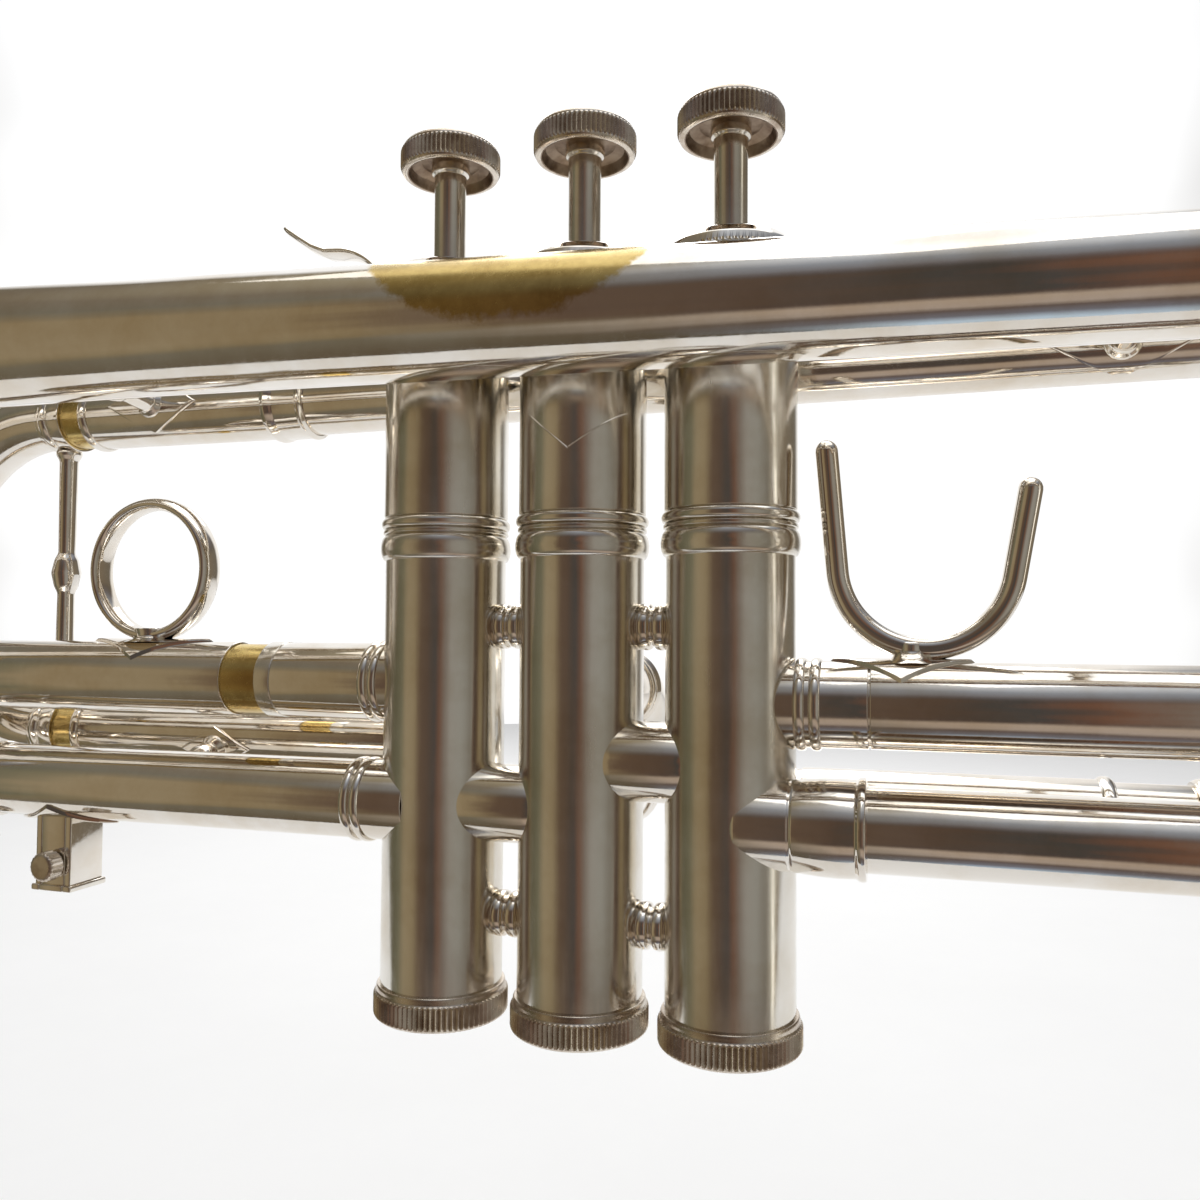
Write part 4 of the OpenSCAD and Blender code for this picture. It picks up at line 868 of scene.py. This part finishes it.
bm = bmesh.new()
bmesh.ops.create_circle(bm, cap_ends=True, segments=96, radius=1.7)
mesh = bpy.data.meshes.new("studio_floor")
bm.to_mesh(mesh)
bm.free()
floor = bpy.data.objects.new("studio_floor", mesh)
floor.location = (-0.2, 1.6, -0.26)
bpy.context.scene.collection.objects.link(floor)
paper = soft_stuff("pale_floor", (0.95, 0.95, 0.95), (0.93, 0.93, 0.93), 3, 0.9, 0.0001)
mesh.materials.append(paper.material)


def area(name, place, aim, size, power, colour):
    """Soft rectangular light at place, facing aim."""
    light = bpy.data.lights.new(name, "AREA")
    light.shape = "RECTANGLE"
    light.size, light.size_y = size
    light.energy = power
    light.color = colour
    obj = bpy.data.objects.new(name, light)
    obj.location = place
    obj.rotation_euler = (Vector(aim) - Vector(place)).to_track_quat("-Z", "Y").to_euler()
    bpy.context.scene.collection.objects.link(obj)


area("ceiling_soft", (0.1, 0.1, 1.5), (0, 0, 0), (1.6, 1.6), 8, (1.0, 0.99, 0.97))
area("back_soft", (-0.4, 1.5, 1.6), (-0.3, 1.3, -0.26), (1.2, 1.2), 20, (1.0, 1.0, 1.0))

# Camera's own axes, fitted to the valves and tubes
view = np.array((-0.29102, 0.95601, 0.03696))
right0 = np.array((0.95666, 0.29122, 0.0))
flat_view = np.cross(np.array(Z_AXIS, float), right0)

world = bpy.data.worlds.new("room")
bpy.context.scene.world = world
world.use_nodes = True
room = Graph(world.node_tree)
back = room.tree.nodes["Background"]


def along(vector):
    """How far the direction looked in points along vector."""
    n = room.node("ShaderNodeVectorMath", operation="DOT_PRODUCT")
    room.link(heading, n.inputs[0])
    n.inputs[1].default_value = tuple(vector)
    return n.outputs["Value"]


heading = room.node("ShaderNodeTexCoord").outputs["Generated"]
turned = room.math("ARCTAN2", along(right0), along(-flat_view))
wobble = room.node("ShaderNodeTexNoise")
wobble.inputs["Scale"].default_value = 3.2
wobble.inputs["Detail"].default_value = 3
room.link(heading, wobble.inputs["Vector"])
shift = room.math("MULTIPLY", room.math("SUBTRACT", wobble.outputs["Fac"], 0.5), 0.045)
azimuth = room.math("MULTIPLY", room.math("ADD", turned, math.pi), 1 / (2 * math.pi))
azimuth = room.math("ADD", azimuth, shift)
height = room.math("MULTIPLY", room.math("ARCSINE", along(Z_AXIS)), 1 / math.pi)
height = room.math("ADD", height, 0.5)
height = room.math("ADD", height, room.math("MULTIPLY", shift, 0.6))


def deg(a):
    """Place on an azimuth ramp: 0 degrees faces the camera's side, less than 0 its left."""
    return (a + 180) / 360


def lift(e):
    """Place on a height ramp, for degrees above the horizon."""
    return e / 180 + 0.5


# Soft bands that the metal mirrors: a row at eye level, the sides above and below it, white behind
row = room.ramp(azimuth, [(deg(-150), (1.05, 1.05, 1.05)), (deg(-138), (0.16, 0.13, 0.09)),
                          (deg(-96), (0.12, 0.11, 0.07)), (deg(-80), (0.16, 0.15, 0.10)),
                          (deg(-67), (0.30, 0.24, 0.15)), (deg(-50), (0.27, 0.21, 0.125)),
                          (deg(-38), (0.12, 0.08, 0.055)), (deg(-24), (0.10, 0.068, 0.05)),
                          (deg(-11), (0.065, 0.06, 0.056)), (deg(-2), (0.16, 0.08, 0.05)),
                          (deg(8), (0.19, 0.155, 0.13)), (deg(20), (0.30, 0.28, 0.25)),
                          (deg(40), (0.29, 0.28, 0.25)), (deg(60), (0.19, 0.17, 0.14)),
                          (deg(68), (0.45, 0.42, 0.35)), (deg(73), (1.7, 1.65, 1.5)),
                          (deg(77), (0.50, 0.45, 0.36)), (deg(86), (0.21, 0.17, 0.12)),
                          (deg(138), (0.17, 0.15, 0.12)), (deg(150), (1.05, 1.05, 1.05))])
left = room.ramp(height, [(0.0, (0.34, 0.29, 0.22)), (lift(-80), (0.09, 0.075, 0.055)),
                          (lift(-55), (0.13, 0.105, 0.072)), (lift(-36), (0.17, 0.15, 0.11)),
                          (lift(-28), (0.24, 0.19, 0.11)), (lift(-20), (0.17, 0.15, 0.11)),
                          (lift(16), (0.10, 0.095, 0.08)), (lift(32), (0.18, 0.165, 0.13)),
                          (lift(46), (0.20, 0.17, 0.13)), (lift(60), (0.32, 0.28, 0.20)),
                          (lift(72), (0.42, 0.42, 0.39)), (1.0, (0.52, 0.53, 0.54))])
ahead = room.ramp(height, [(0.0, (0.52, 0.62, 0.72)), (lift(-78), (0.52, 0.66, 0.82)),
                           (lift(-66), (0.17, 0.17, 0.20)), (lift(-56), (0.13, 0.10, 0.09)),
                           (lift(-49), (0.40, 0.33, 0.28)), (lift(-37), (0.42, 0.34, 0.27)),
                           (lift(-29), (0.10, 0.07, 0.06)), (lift(-20), (0.045, 0.038, 0.035)),
                           (lift(20), (0.055, 0.048, 0.045)), (lift(32), (0.17, 0.16, 0.17)),
                           (lift(44), (0.28, 0.30, 0.34)), (lift(57), (0.62, 0.65, 0.70)),
                           (lift(67), (0.66, 0.69, 0.74)), (lift(80), (0.34, 0.38, 0.45)),
                           (1.0, (0.33, 0.36, 0.44))])
bright = room.ramp(height, [(0.0, (1.0, 1.0, 1.02)), (lift(-50), (1.08, 1.08, 1.08)),
                            (1.0, (1.05, 1.06, 1.08))])
to_ahead = room.ramp(azimuth, [(deg(-52), (0, 0, 0)), (deg(-24), (1, 1, 1))])
to_back = room.ramp(azimuth, [(deg(-148), (1, 1, 1)), (deg(-136), (0, 0, 0)), (deg(136), (0, 0, 0)),
                              (deg(148), (1, 1, 1))])
in_row = room.ramp(height, [(lift(-34), (0, 0, 0)), (lift(-24), (1, 1, 1)), (lift(20), (1, 1, 1)),
                            (lift(34), (0, 0, 0))])
colour = room.mix(to_back, room.mix(to_ahead, left, ahead), bright)
colour = room.mix(in_row, colour, row)
room.link(colour, back.inputs["Color"])
back.inputs["Strength"].default_value = 1.0

camera = bpy.data.cameras.new("camera")
camera.lens = 30.953
camera.sensor_width = 36
camera.clip_start = 0.01
eye = bpy.data.objects.new("camera", camera)
roll = 0.006126
up0 = np.array((0.01076, -0.03536, 0.99932))
right = math.cos(roll) * right0 + math.sin(roll) * up0
up = -math.sin(roll) * right0 + math.cos(roll) * up0
m = Matrix.Identity(4)
for col, vec in enumerate((right, up, -view)):
    for k in range(3):
        m[k][col] = vec[k]
m.translation = (0.052756, -0.163062, 0.020)
eye.matrix_world = m
bpy.context.scene.collection.objects.link(eye)
bpy.context.scene.camera = eye
